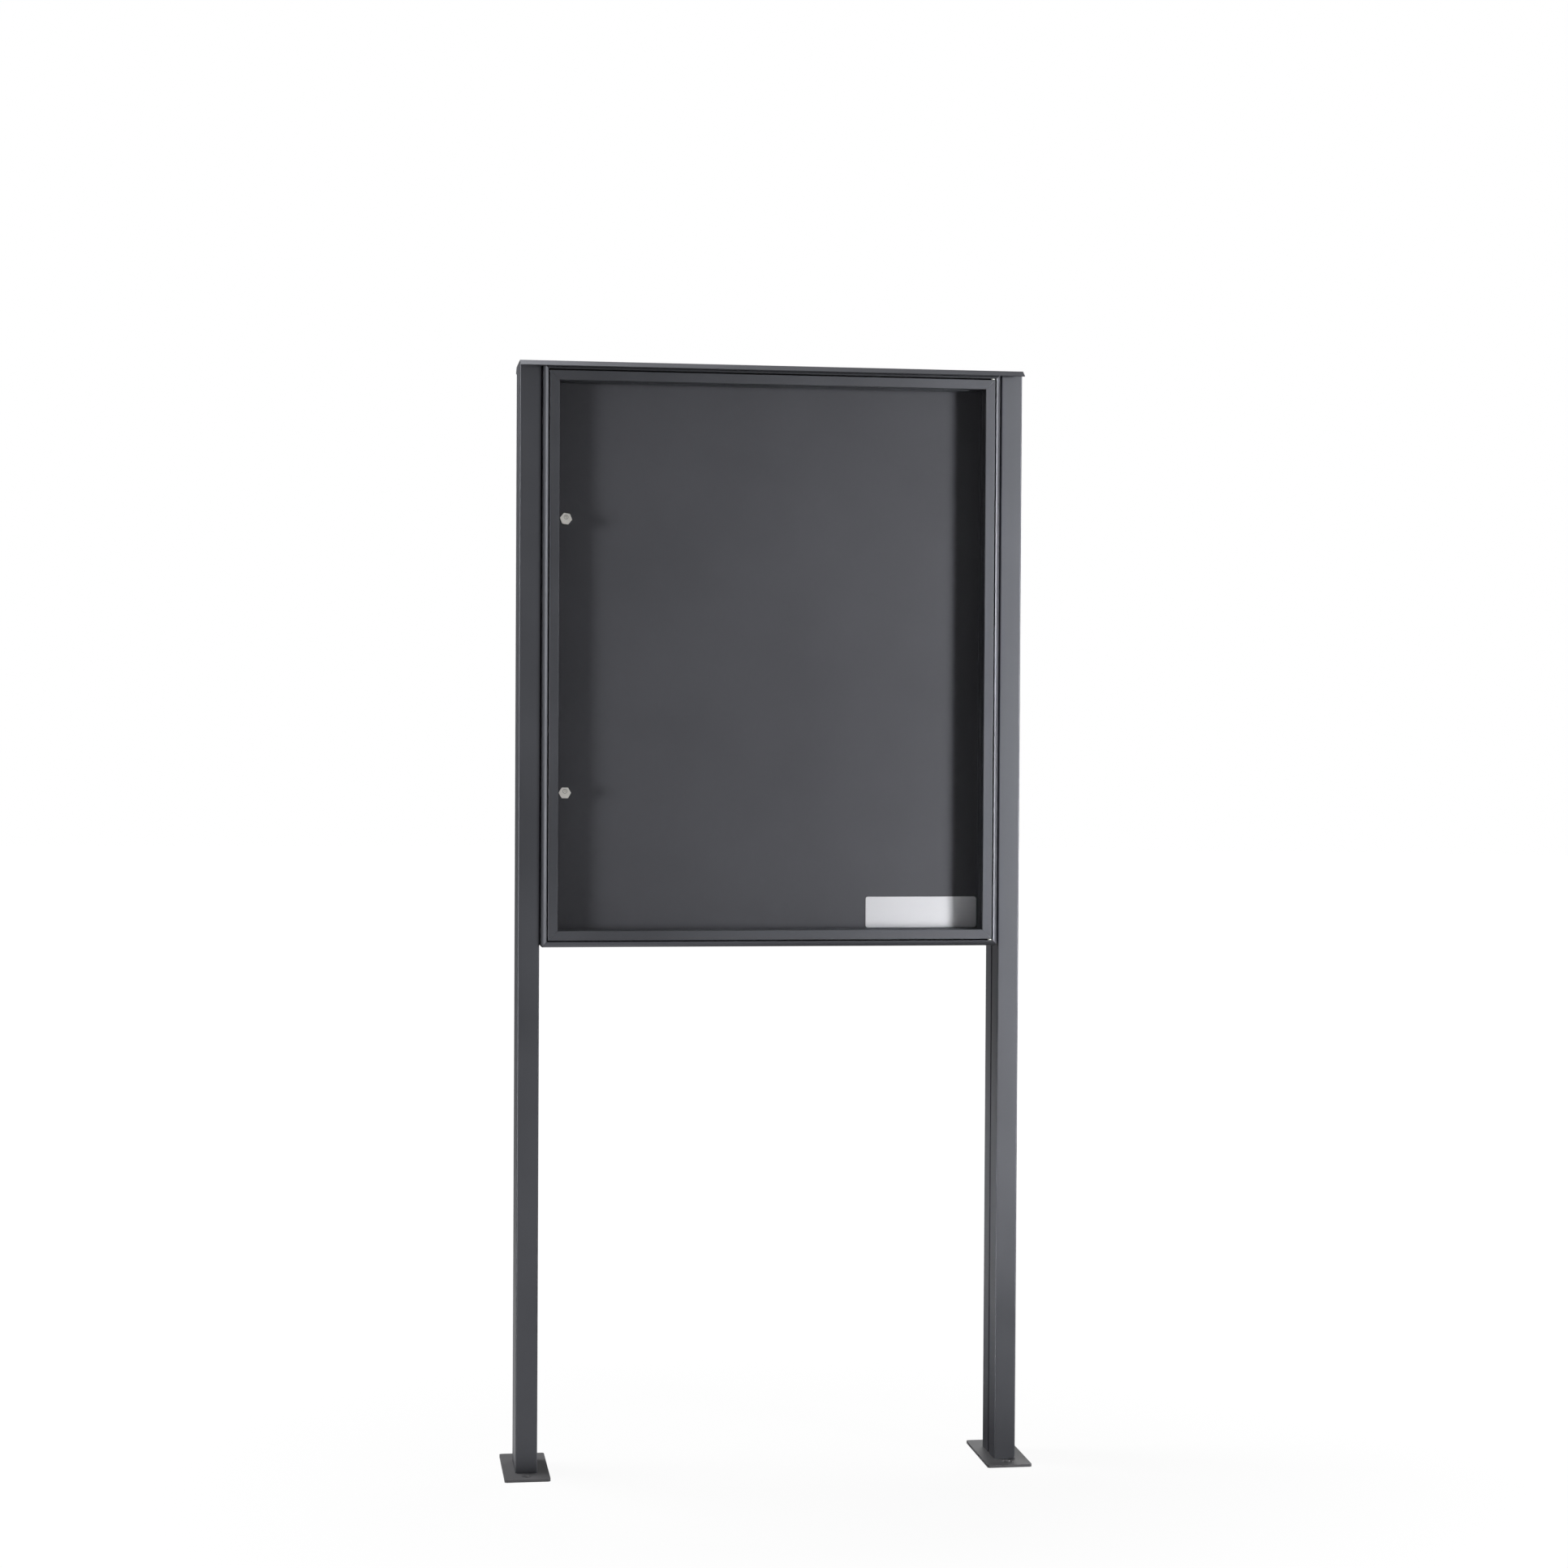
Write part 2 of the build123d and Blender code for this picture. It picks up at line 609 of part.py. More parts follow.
cam_screw = round_head_screw(cam_screw_head, cam_screw_head_height, cam_screw_diameter, cam_screw_length)
for name, level in lock_levels.items():
    # Hexagon nut on the front, with its corners chamfered
    with BuildPart() as nut_blank:
        with BuildSketch(lock_plane(level, nut_back)):
            Circle(lock_nut_flats / 2 / cos(pi / 6) + fixed_clearance)
        extrude(amount=lock_nut_height)
        chamfer(nut_blank.faces().sort_by(Axis.Y)[0].edges(), lock_nut_chamfer)
    with BuildPart() as lock_nut:
        with BuildSketch(lock_plane(level, nut_back)):
            RegularPolygon(lock_nut_flats / 2, 6, major_radius=False, rotation=nut_turns[name])
            Circle(barrel_diameter / 2 + fixed_clearance, mode=Mode.SUBTRACT)
        extrude(amount=lock_nut_height)
        add(nut_blank.part, mode=Mode.INTERSECT)
    save(lock_nut.part, f"{name}_lock_nut")

    # Barrel with a flange behind the pane and an off-centre bore
    with BuildPart() as lock_barrel:
        with BuildSketch(lock_plane(level, barrel_end)):
            Circle(barrel_diameter / 2)
        extrude(amount=barrel_end - barrel_front)
        with BuildSketch(lock_plane(level, pane_back + barrel_flange_height)):
            Circle(barrel_flange / 2)
        extrude(amount=barrel_flange_height)
        with Locations(lock_plane(level, barrel_front, plug_offset).location):
            CounterBoreHole(plug_stem / 2 + running_clearance, plug_diameter / 2 + running_clearance,
                            plug_head_length + fixed_clearance)
    save(lock_barrel.part, f"{name}_lock_barrel")

    # Plug with a key slot, a stem and a square end that drives the cam
    with BuildPart() as lock_plug:
        with BuildSketch(lock_plane(level, barrel_front + plug_head_length, plug_offset)):
            Circle(plug_diameter / 2)
        extrude(amount=plug_head_length)
        with BuildSketch(lock_plane(level, barrel_end, plug_offset)):
            Circle(plug_stem / 2)
        extrude(amount=barrel_end - barrel_front - plug_head_length)
        with BuildSketch(lock_plane(level, cam_back, plug_offset)):
            Rectangle(drive_square, drive_square)
        extrude(amount=cam_back - barrel_end)
        with BuildSketch(lock_plane(level, barrel_front, plug_offset)):
            with Locations((0, key_slot_height / 2)):
                Rectangle(key_slot_width, key_slot_height)
        extrude(amount=-key_slot_depth, mode=Mode.SUBTRACT)
        with BuildSketch(lock_plane(level, cam_back, plug_offset)):
            Circle(cam_screw_diameter / 2 + fixed_clearance)
        extrude(amount=cam_screw_length, mode=Mode.SUBTRACT)
    save(lock_plug.part, f"{name}_lock_plug")

    # Cam hanging down, clear of the case lip until the plug is turned
    cam_straight = cam_reach - cam_width / 2
    with BuildPart() as lock_cam:
        with BuildSketch(lock_plane(level, cam_back, plug_offset)):
            with Locations((0, -cam_straight / 2)):
                SlotCenterToCenter(cam_straight, cam_width, rotation=90)
            Rectangle(drive_square + 2 * fixed_clearance, drive_square + 2 * fixed_clearance,
                      mode=Mode.SUBTRACT)
        extrude(amount=cam_thickness)
    save(lock_cam.part, f"{name}_lock_cam")

    with BuildPart() as lock_cam_screw:
        with Locations(lock_plane(level, cam_back + cam_screw_head_height, plug_offset).location):
            add(cam_screw)
    save(lock_cam_screw.part, f"{name}_cam_screw")
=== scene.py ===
import json
import math

import bmesh
import bpy
from mathutils import Matrix, Vector


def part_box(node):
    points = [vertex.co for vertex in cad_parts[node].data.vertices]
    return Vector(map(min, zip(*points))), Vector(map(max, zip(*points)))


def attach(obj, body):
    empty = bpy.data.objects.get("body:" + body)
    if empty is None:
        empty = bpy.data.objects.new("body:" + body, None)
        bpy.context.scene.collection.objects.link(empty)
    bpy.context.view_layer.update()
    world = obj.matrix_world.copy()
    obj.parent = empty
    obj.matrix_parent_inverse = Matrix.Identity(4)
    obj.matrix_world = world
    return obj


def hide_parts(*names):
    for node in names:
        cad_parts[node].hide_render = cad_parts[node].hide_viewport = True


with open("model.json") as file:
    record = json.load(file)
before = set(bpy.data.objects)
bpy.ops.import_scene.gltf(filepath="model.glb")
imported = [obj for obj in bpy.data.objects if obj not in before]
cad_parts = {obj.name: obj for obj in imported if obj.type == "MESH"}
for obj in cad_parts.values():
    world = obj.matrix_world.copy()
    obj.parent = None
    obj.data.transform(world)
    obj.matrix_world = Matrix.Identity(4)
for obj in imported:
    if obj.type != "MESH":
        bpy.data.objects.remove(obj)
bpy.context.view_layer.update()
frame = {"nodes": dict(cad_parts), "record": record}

bl_info = {
    "name": "Outdoor Notice Board",
    "version": (1, 0, 0),
    "blender": (4, 5, 0),
    "location": "View3D > Sidebar > Notice Board",
    "description": "Finishes, small fittings and studio stage of a glazed outdoor notice board",
    "category": "Object",
}

mm = 0.001
nodes = frame["nodes"]
slot_of = {part["node"]: part["material_slot"] for part in frame["record"]["subparts"]}
turns = 24  # sides of the small round pieces, a multiple of six
noise_low = 0.3  # nearly all of a noise texture's values lie between these two
noise_high = 0.7


# Sizes and colours that a user would change

class NoticeBoardFinish(bpy.types.PropertyGroup):
    """Colours and surfaces of the metal, the pane and the small parts"""
    coat_colour: bpy.props.FloatVectorProperty(
        name="Coat Colour", description="Anthracite powder coat of the posts, case, door and cap",
        subtype="COLOR", min=0.0, max=1.0, default=(0.102, 0.105, 0.118))
    panel_colour: bpy.props.FloatVectorProperty(
        name="Panel Colour", description="Satin coat of the back panel",
        subtype="COLOR", min=0.0, max=1.0, default=(0.085, 0.084, 0.0955))
    # Painted light: the base plates' coat is lighter than the posts' coat, to stand for light from above
    # on their upward faces
    base_colour_with_painted_light: bpy.props.FloatVectorProperty(
        name="Base Plate Colour", description="Coat of the plates on the ground",
        subtype="COLOR", min=0.0, max=1.0, default=(0.178, 0.177, 0.186))
    coat_roughness: bpy.props.FloatProperty(
        name="Coat Roughness", description="How matt the powder coat is",
        subtype="FACTOR", min=0.05, max=1.0, default=0.5)
    grain_size: bpy.props.FloatProperty(
        name="Coat Grain", description="Width of the fine bumps in the powder coat",
        unit="LENGTH", subtype="DISTANCE", min=0.1 * mm, max=5 * mm, default=0.7 * mm)
    nickel_colour: bpy.props.FloatVectorProperty(
        name="Nickel Colour", description="Bright plating of the locks",
        subtype="COLOR", min=0.0, max=1.0, default=(0.8, 0.78, 0.74))
    steel_colour: bpy.props.FloatVectorProperty(
        name="Steel Colour", description="Stainless screws, nuts and pins",
        subtype="COLOR", min=0.0, max=1.0, default=(0.56, 0.56, 0.55))
    silver_colour: bpy.props.FloatVectorProperty(
        name="Silver Colour", description="Bare plate on the back panel",
        subtype="COLOR", min=0.0, max=1.0, default=(0.9, 0.885, 0.925))
    cleat_colour: bpy.props.FloatVectorProperty(
        name="Cleat Colour", description="Bare aluminium of the corner cleats",
        subtype="COLOR", min=0.0, max=1.0, default=(0.62, 0.62, 0.63))
    cam_colour: bpy.props.FloatVectorProperty(
        name="Cam Colour", description="Dark coat of the lock cams",
        subtype="COLOR", min=0.0, max=1.0, default=(0.055, 0.055, 0.06))
    brass_colour: bpy.props.FloatVectorProperty(
        name="Brass Colour", description="Small pin in the middle of each lock plug",
        subtype="COLOR", min=0.0, max=1.0, default=(0.62, 0.43, 0.18))
    rubber_colour: bpy.props.FloatVectorProperty(
        name="Rubber Colour", description="Gasket, door seal and lock washers",
        subtype="COLOR", min=0.0, max=1.0, default=(0.016, 0.016, 0.017))
    plastic_colour: bpy.props.FloatVectorProperty(
        name="Plastic Colour", description="Corner caps of the case",
        subtype="COLOR", min=0.0, max=1.0, default=(0.018, 0.018, 0.019))
    # Painted shade: the dark ring round each lock plug stands for the shadow in the gap between plug and
    # barrel
    painted_shade_ring_colour: bpy.props.FloatVectorProperty(
        name="Lock Ring Colour", description="Dark ring round each lock plug",
        subtype="COLOR", min=0.0, max=1.0, default=(0.012, 0.012, 0.012))
    nylon_colour: bpy.props.FloatVectorProperty(
        name="Nylon Colour", description="White hinge bushes",
        subtype="COLOR", min=0.0, max=1.0, default=(0.78, 0.78, 0.75))


class NoticeBoardPlate(bpy.types.PropertyGroup):
    """Size of the bare plate in the lower right corner of the back panel"""
    width: bpy.props.FloatProperty(
        name="Width", description="Length of the plate along the panel",
        unit="LENGTH", subtype="DISTANCE", min=20 * mm, max=500 * mm, default=212 * mm)
    height: bpy.props.FloatProperty(
        name="Height", description="Height of the plate",
        unit="LENGTH", subtype="DISTANCE", min=10 * mm, max=200 * mm, default=58 * mm)
    thickness: bpy.props.FloatProperty(
        name="Thickness", description="Sheet thickness of the plate",
        unit="LENGTH", subtype="DISTANCE", min=0.2 * mm, max=5 * mm, default=1.0 * mm)
    corner_radius: bpy.props.FloatProperty(
        name="Corner Radius", description="Rounding of the plate's four corners",
        unit="LENGTH", subtype="DISTANCE", min=0.5 * mm, max=20 * mm, default=4.5 * mm)
    corner_gap: bpy.props.FloatProperty(
        name="Corner Gap", description="Gap from the plate to the case beside and below it",
        unit="LENGTH", subtype="DISTANCE", min=0.0, max=50 * mm, default=0.8 * mm)


class NoticeBoardFittings(bpy.types.PropertyGroup):
    """Sizes of the screw heads and of the details on the lock faces"""
    cap_head: bpy.props.FloatProperty(
        name="Cap Screw Head", description="Diameter of the screw heads on the rain cap",
        unit="LENGTH", subtype="DISTANCE", min=4 * mm, max=30 * mm, default=13 * mm)
    cap_socket: bpy.props.FloatProperty(
        name="Cap Screw Socket", description="Hexagon socket of the rain cap's screws, across flats",
        unit="LENGTH", subtype="DISTANCE", min=1 * mm, max=10 * mm, default=4 * mm)
    foot_head: bpy.props.FloatProperty(
        name="Foot Screw Head", description="Diameter of the countersunk heads under the base plates",
        unit="LENGTH", subtype="DISTANCE", min=4 * mm, max=30 * mm, default=14 * mm)
    foot_socket: bpy.props.FloatProperty(
        name="Foot Screw Socket", description="Hexagon socket of the foot screws, across flats",
        unit="LENGTH", subtype="DISTANCE", min=1 * mm, max=10 * mm, default=4 * mm)
    foot_socket_depth: bpy.props.FloatProperty(
        name="Foot Socket Depth", description="Depth of the foot screws' sockets",
        unit="LENGTH", subtype="DISTANCE", min=0.5 * mm, max=6 * mm, default=2.2 * mm)
    screw_shank: bpy.props.FloatProperty(
        name="Screw Shank", description="Diameter of the cap and foot screws",
        unit="LENGTH", subtype="DISTANCE", min=2 * mm, max=12 * mm, default=6.6 * mm)
    bolt_flats: bpy.props.FloatProperty(
        name="Bolt Flats", description="Width across the flats of the case's fixing bolts",
        unit="LENGTH", subtype="DISTANCE", min=5 * mm, max=30 * mm, default=10 * mm)
    bolt_head: bpy.props.FloatProperty(
        name="Bolt Head Height", description="Height of the fixing bolts' heads",
        unit="LENGTH", subtype="DISTANCE", min=1 * mm, max=12 * mm, default=3.2 * mm)
    screw_point: bpy.props.FloatProperty(
        name="Screw Point", description="Length of the taper at the end of the cap and foot screws",
        unit="LENGTH", subtype="DISTANCE", min=0.2 * mm, max=5 * mm, default=1 * mm)
    bolt_point: bpy.props.FloatProperty(
        name="Bolt Point", description="Length of the taper at the end of the fixing bolts",
        unit="LENGTH", subtype="DISTANCE", min=0.2 * mm, max=5 * mm, default=0.8 * mm)
    bolt_shank: bpy.props.FloatProperty(
        name="Bolt Shank", description="Diameter of the fixing bolts",
        unit="LENGTH", subtype="DISTANCE", min=2 * mm, max=12 * mm, default=6 * mm)
    bolt_length: bpy.props.FloatProperty(
        name="Bolt Length", description="Length of the fixing bolts under the head",
        unit="LENGTH", subtype="DISTANCE", min=4 * mm, max=60 * mm, default=11.3 * mm)
    cam_head: bpy.props.FloatProperty(
        name="Cam Screw Head Height", description="Height of the heads that hold the lock cams",
        unit="LENGTH", subtype="DISTANCE", min=0.5 * mm, max=8 * mm, default=2 * mm)
    cam_shank: bpy.props.FloatProperty(
        name="Cam Screw Shank", description="Diameter of the cam screws",
        unit="LENGTH", subtype="DISTANCE", min=1 * mm, max=8 * mm, default=2.4 * mm)
    cam_socket: bpy.props.FloatProperty(
        name="Cam Screw Socket", description="Hexagon socket of the cam screws, across flats",
        unit="LENGTH", subtype="DISTANCE", min=1 * mm, max=6 * mm, default=2.5 * mm)
    # Sizes of the dark ring of painted shade that stands for the shadow gap round each lock plug
    shade_ring_gap: bpy.props.FloatProperty(
        name="Lock Ring Gap", description="Gap between each lock plug and the dark ring round it",
        unit="LENGTH", subtype="DISTANCE", min=0.0, max=1 * mm, default=0.06 * mm)
    shade_ring_width: bpy.props.FloatProperty(
        name="Lock Ring", description="Width of the dark ring round each lock plug",
        unit="LENGTH", subtype="DISTANCE", min=0.1 * mm, max=2 * mm, default=0.46 * mm)
    shade_ring_height: bpy.props.FloatProperty(
        name="Lock Ring Height", description="How far the dark ring stands out of the lock face",
        unit="LENGTH", subtype="DISTANCE", min=0.02 * mm, max=0.4 * mm, default=0.12 * mm)
    dot_radius: bpy.props.FloatProperty(
        name="Lock Pin", description="Radius of the brass pin in the middle of each lock plug",
        unit="LENGTH", subtype="DISTANCE", min=0.1 * mm, max=2 * mm, default=0.6 * mm)
    dot_height: bpy.props.FloatProperty(
        name="Lock Pin Height", description="How far the brass pin stands out of the lock plug",
        unit="LENGTH", subtype="DISTANCE", min=0.1 * mm, max=2 * mm, default=0.4 * mm)


class NoticeBoardStage(bpy.types.PropertyGroup):
    """Camera, lamps and floor"""
    camera_place: bpy.props.FloatVectorProperty(
        name="Camera Place", description="Where the camera stands",
        unit="LENGTH", subtype="TRANSLATION", default=(-0.7743, -5.5031, 1.3701))
    camera_yaw: bpy.props.FloatProperty(
        name="Camera Yaw", description="Turn of the camera to the right of straight ahead",
        unit="ROTATION", subtype="ANGLE", default=math.radians(8.3176))
    camera_pitch: bpy.props.FloatProperty(
        name="Camera Pitch", description="Downward tilt of the camera",
        unit="ROTATION", subtype="ANGLE", default=math.radians(0.98))
    camera_roll: bpy.props.FloatProperty(
        name="Camera Roll", description="Roll of the camera about its view",
        unit="ROTATION", subtype="ANGLE", default=math.radians(0.3216))
    lens: bpy.props.FloatProperty(
        name="Lens", description="Focal length on a sensor 36 mm wide",
        unit="CAMERA", min=10.0, max=300.0, default=68.1)
    key_power: bpy.props.FloatProperty(
        name="Key Lamp", description="Power of the soft lamp in front and to the right",
        unit="POWER", min=0.0, max=500.0, default=25.0)
    lamp_spread: bpy.props.FloatProperty(
        name="Lamp Spread", description="How far the key and fill lamps spread to the sides",
        unit="ROTATION", subtype="ANGLE", min=math.radians(5), max=math.pi, default=math.radians(24))
    fill_power: bpy.props.FloatProperty(
        name="Fill Lamp", description="Power of the soft lamp in front and to the left",
        unit="POWER", min=0.0, max=500.0, default=3.5)
    slot_power: bpy.props.FloatProperty(
        name="Slot Lamp", description="Power of the narrow lamp on the inner side of the right post",
        unit="POWER", min=0.0, max=500.0, default=0.48)
    top_power: bpy.props.FloatProperty(
        name="Top Lamp", description="Power of the soft lamp above the left end of the cap",
        unit="POWER", min=0.0, max=500.0, default=60.0)
    rear_power: bpy.props.FloatProperty(
        name="Rear Lamp", description="Power of the soft lamp behind the board",
        unit="POWER", min=0.0, max=500.0, default=18.0)
    room_light: bpy.props.FloatProperty(
        name="Room Light", description="Even light from all round",
        subtype="FACTOR", min=0.0, max=1.0, default=0.02)
    room_front: bpy.props.FloatProperty(
        name="Room Front", description="How bright the room behind the camera looks in gloss and glass",
        subtype="FACTOR", min=0.0, max=1.0, default=0.02)
    room_gloss: bpy.props.FloatProperty(
        name="Room Gloss", description="How bright the rest of the room looks in gloss and glass",
        subtype="FACTOR", min=0.0, max=1.0, default=0.45)
    room_back: bpy.props.FloatProperty(
        name="Room Back", description="How bright the far end of the room looks in gloss and glass",
        subtype="FACTOR", min=0.0, max=1.0, default=0.12)
    floor_radius: bpy.props.FloatProperty(
        name="Floor Radius", description="Radius of the pale floor",
        unit="LENGTH", subtype="DISTANCE", min=2.0, max=60.0, default=30.0)


# Shader node groups shared by several finishes

def new_group(name, inputs, outputs):
    group = bpy.data.node_groups.new(name, "ShaderNodeTree")
    for label, kind, value in inputs:
        socket = group.interface.new_socket(name=label, in_out="INPUT", socket_type=kind)
        socket.default_value = value
    for label, kind in outputs:
        group.interface.new_socket(name=label, in_out="OUTPUT", socket_type=kind)
    entry = group.nodes.new("NodeGroupInput")
    exit_node = group.nodes.new("NodeGroupOutput")
    return group, entry, exit_node


def math_node(tree, operation, first, second):
    node = tree.nodes.new("ShaderNodeMath")
    node.operation = operation
    for socket, value in zip(node.inputs, (first, second)):
        if isinstance(value, bpy.types.NodeSocket):
            tree.links.new(value, socket)
        else:
            socket.default_value = value
    return node.outputs["Value"]


def range_node(tree, value, low, high, to_low, to_high):
    node = tree.nodes.new("ShaderNodeMapRange")
    tree.links.new(value, node.inputs["Value"])
    for label, given in (("From Min", low), ("From Max", high), ("To Min", to_low), ("To Max", to_high)):
        if isinstance(given, bpy.types.NodeSocket):
            tree.links.new(given, node.inputs[label])
        else:
            node.inputs[label].default_value = given
    return node.outputs["Result"]


def noise_node(tree, vector, scale, detail):
    node = tree.nodes.new("ShaderNodeTexNoise")
    tree.links.new(vector, node.inputs["Vector"])
    if isinstance(scale, bpy.types.NodeSocket):
        tree.links.new(scale, node.inputs["Scale"])
    else:
        node.inputs["Scale"].default_value = scale
    node.inputs["Detail"].default_value = detail
    return node.outputs["Fac"]


def swing(tree, noise, middle, amount):
    """Moves a value up and down about its middle by an amount, as a noise does"""
    low = math_node(tree, "SUBTRACT", middle, amount)
    high = math_node(tree, "ADD", middle, amount)
    return range_node(tree, noise, noise_low, noise_high, low, high)


def scaled_colour(tree, colour, factor):
    node = tree.nodes.new("ShaderNodeVectorMath")
    node.operation = "SCALE"
    tree.links.new(colour, node.inputs[0])
    tree.links.new(factor, node.inputs["Scale"])
    return node.outputs["Vector"]


def object_place(tree):
    return tree.nodes.new("ShaderNodeTexCoord").outputs["Object"]


def ray_masks(tree):
    """Masks of the rays that see a thing straight or through glass, and of those that see it mirrored"""
    path = tree.nodes.new("ShaderNodeLightPath")
    through = path.outputs["Is Transmission Ray"]
    seen = math_node(tree, "MAXIMUM", path.outputs["Is Camera Ray"], through)
    bounced = math_node(tree, "SUBTRACT", path.outputs["Is Glossy Ray"], through)
    mirrored = math_node(tree, "MAXIMUM", bounced, path.outputs["Glossy Depth"])
    return seen, mirrored


def coat_grain_group():
    """Fine-textured powder coat: tiny even bumps, a faint speckle and slow changes of tone"""
    group, entry, exit_node = new_group(
        "coat_grain",
        [("Colour", "NodeSocketColor", (0.08, 0.08, 0.09, 1.0)), ("Grain", "NodeSocketFloat", 0.7 * mm),
         ("Speckle", "NodeSocketFloat", 0.12), ("Tone", "NodeSocketFloat", 0.05),
         ("Roughness", "NodeSocketFloat", 0.5)],
        [("Colour", "NodeSocketColor"), ("Roughness", "NodeSocketFloat"), ("Height", "NodeSocketFloat")])
    place = object_place(group)
    scale = math_node(group, "DIVIDE", 1.0, entry.outputs["Grain"])
    grain = noise_node(group, place, scale, 2.0)
    tone = noise_node(group, place, 5.0, 3.0)
    speckle = swing(group, grain, 1.0, entry.outputs["Speckle"])
    drift = swing(group, tone, 1.0, entry.outputs["Tone"])
    factor = math_node(group, "MULTIPLY", speckle, drift)
    roughness = swing(group, tone, entry.outputs["Roughness"], 0.05)
    group.links.new(scaled_colour(group, entry.outputs["Colour"], factor), exit_node.inputs["Colour"])
    group.links.new(roughness, exit_node.inputs["Roughness"])
    group.links.new(grain, exit_node.inputs["Height"])
    return group


def drawn_metal_group():
    """Bare or plated metal: fine lines along one direction, with changes of sheen between them"""
    group, entry, exit_node = new_group(
        "drawn_metal",
        [("Colour", "NodeSocketColor", (0.6, 0.6, 0.6, 1.0)),
         ("Lines", "NodeSocketVector", (200.0, 4000.0, 4000.0)),
         ("Streak", "NodeSocketFloat", 0.08), ("Roughness", "NodeSocketFloat", 0.3)],
        [("Colour", "NodeSocketColor"), ("Roughness", "NodeSocketFloat"), ("Height", "NodeSocketFloat")])
    stretch = group.nodes.new("ShaderNodeVectorMath")
    stretch.operation = "MULTIPLY"
    group.links.new(object_place(group), stretch.inputs[0])
    group.links.new(entry.outputs["Lines"], stretch.inputs[1])
    lines = noise_node(group, stretch.outputs["Vector"], 1.0, 3.0)
    factor = swing(group, lines, 1.0, entry.outputs["Streak"])
    sheen = math_node(group, "MULTIPLY", entry.outputs["Roughness"], 0.1)
    roughness = swing(group, lines, entry.outputs["Roughness"], sheen)
    group.links.new(scaled_colour(group, entry.outputs["Colour"], factor), exit_node.inputs["Colour"])
    group.links.new(roughness, exit_node.inputs["Roughness"])
    group.links.new(lines, exit_node.inputs["Height"])
    return group


def moulded_grain_group():
    """Moulded plastic and rubber: a leathery grain with a few paler specks"""
    group, entry, exit_node = new_group(
        "moulded_grain",
        [("Colour", "NodeSocketColor", (0.02, 0.02, 0.02, 1.0)), ("Grain", "NodeSocketFloat", 0.5 * mm),
         ("Specks", "NodeSocketFloat", 0.3), ("Roughness", "NodeSocketFloat", 0.6)],
        [("Colour", "NodeSocketColor"), ("Roughness", "NodeSocketFloat"), ("Height", "NodeSocketFloat")])
    place = object_place(group)
    scale = math_node(group, "DIVIDE", 1.0, entry.outputs["Grain"])
    grain = noise_node(group, place, scale, 3.0)
    specks = noise_node(group, place, 350.0, 4.0)
    lighter = math_node(group, "ADD", 1.0, entry.outputs["Specks"])
    factor = range_node(group, specks, 0.5, 0.8, 1.0, lighter)
    roughness = swing(group, grain, entry.outputs["Roughness"], 0.08)
    group.links.new(scaled_colour(group, entry.outputs["Colour"], factor), exit_node.inputs["Colour"])
    group.links.new(roughness, exit_node.inputs["Roughness"])
    group.links.new(grain, exit_node.inputs["Height"])
    return group


def shared_group(name, build):
    return bpy.data.node_groups.get(name) or build()


# Finishes, one for each material slot of the record

def finish_from_group(name, group, values, bump, metallic=0.0, specular=0.5):
    found = bpy.data.materials.get(name)
    if found:
        return found
    material = bpy.data.materials.new(name)
    material.use_nodes = True
    tree = material.node_tree
    shader = tree.nodes["Principled BSDF"]
    shader.inputs["Metallic"].default_value = metallic
    shader.inputs["Specular IOR Level"].default_value = specular
    surface = tree.nodes.new("ShaderNodeGroup")
    surface.node_tree = group
    for label, value in values.items():
        surface.inputs[label].default_value = value
    relief = tree.nodes.new("ShaderNodeBump")
    relief.inputs["Strength"].default_value = 1.0
    relief.inputs["Distance"].default_value = bump
    tree.links.new(surface.outputs["Colour"], shader.inputs["Base Color"])
    tree.links.new(surface.outputs["Roughness"], shader.inputs["Roughness"])
    tree.links.new(surface.outputs["Height"], relief.inputs["Height"])
    tree.links.new(relief.outputs["Normal"], shader.inputs["Normal"])
    return material


def coat(name, colour, roughness, grain, speckle=0.12, bump=0.02 * mm, metallic=0.0, specular=0.5):
    values = {"Colour": (*colour, 1.0), "Grain": grain, "Speckle": speckle, "Roughness": roughness}
    group = shared_group("coat_grain", coat_grain_group)
    return finish_from_group(name, group, values, bump, metallic, specular)


def metal(name, colour, roughness, lines, streak=0.08, bump=0.002 * mm, metallic=1.0):
    values = {"Colour": (*colour, 1.0), "Lines": lines, "Streak": streak, "Roughness": roughness}
    group = shared_group("drawn_metal", drawn_metal_group)
    return finish_from_group(name, group, values, bump, metallic)


def moulding(name, colour, roughness, grain, specks=0.3, bump=0.02 * mm):
    values = {"Colour": (*colour, 1.0), "Grain": grain, "Specks": specks, "Roughness": roughness}
    group = shared_group("moulded_grain", moulded_grain_group)
    return finish_from_group(name, group, values, bump)


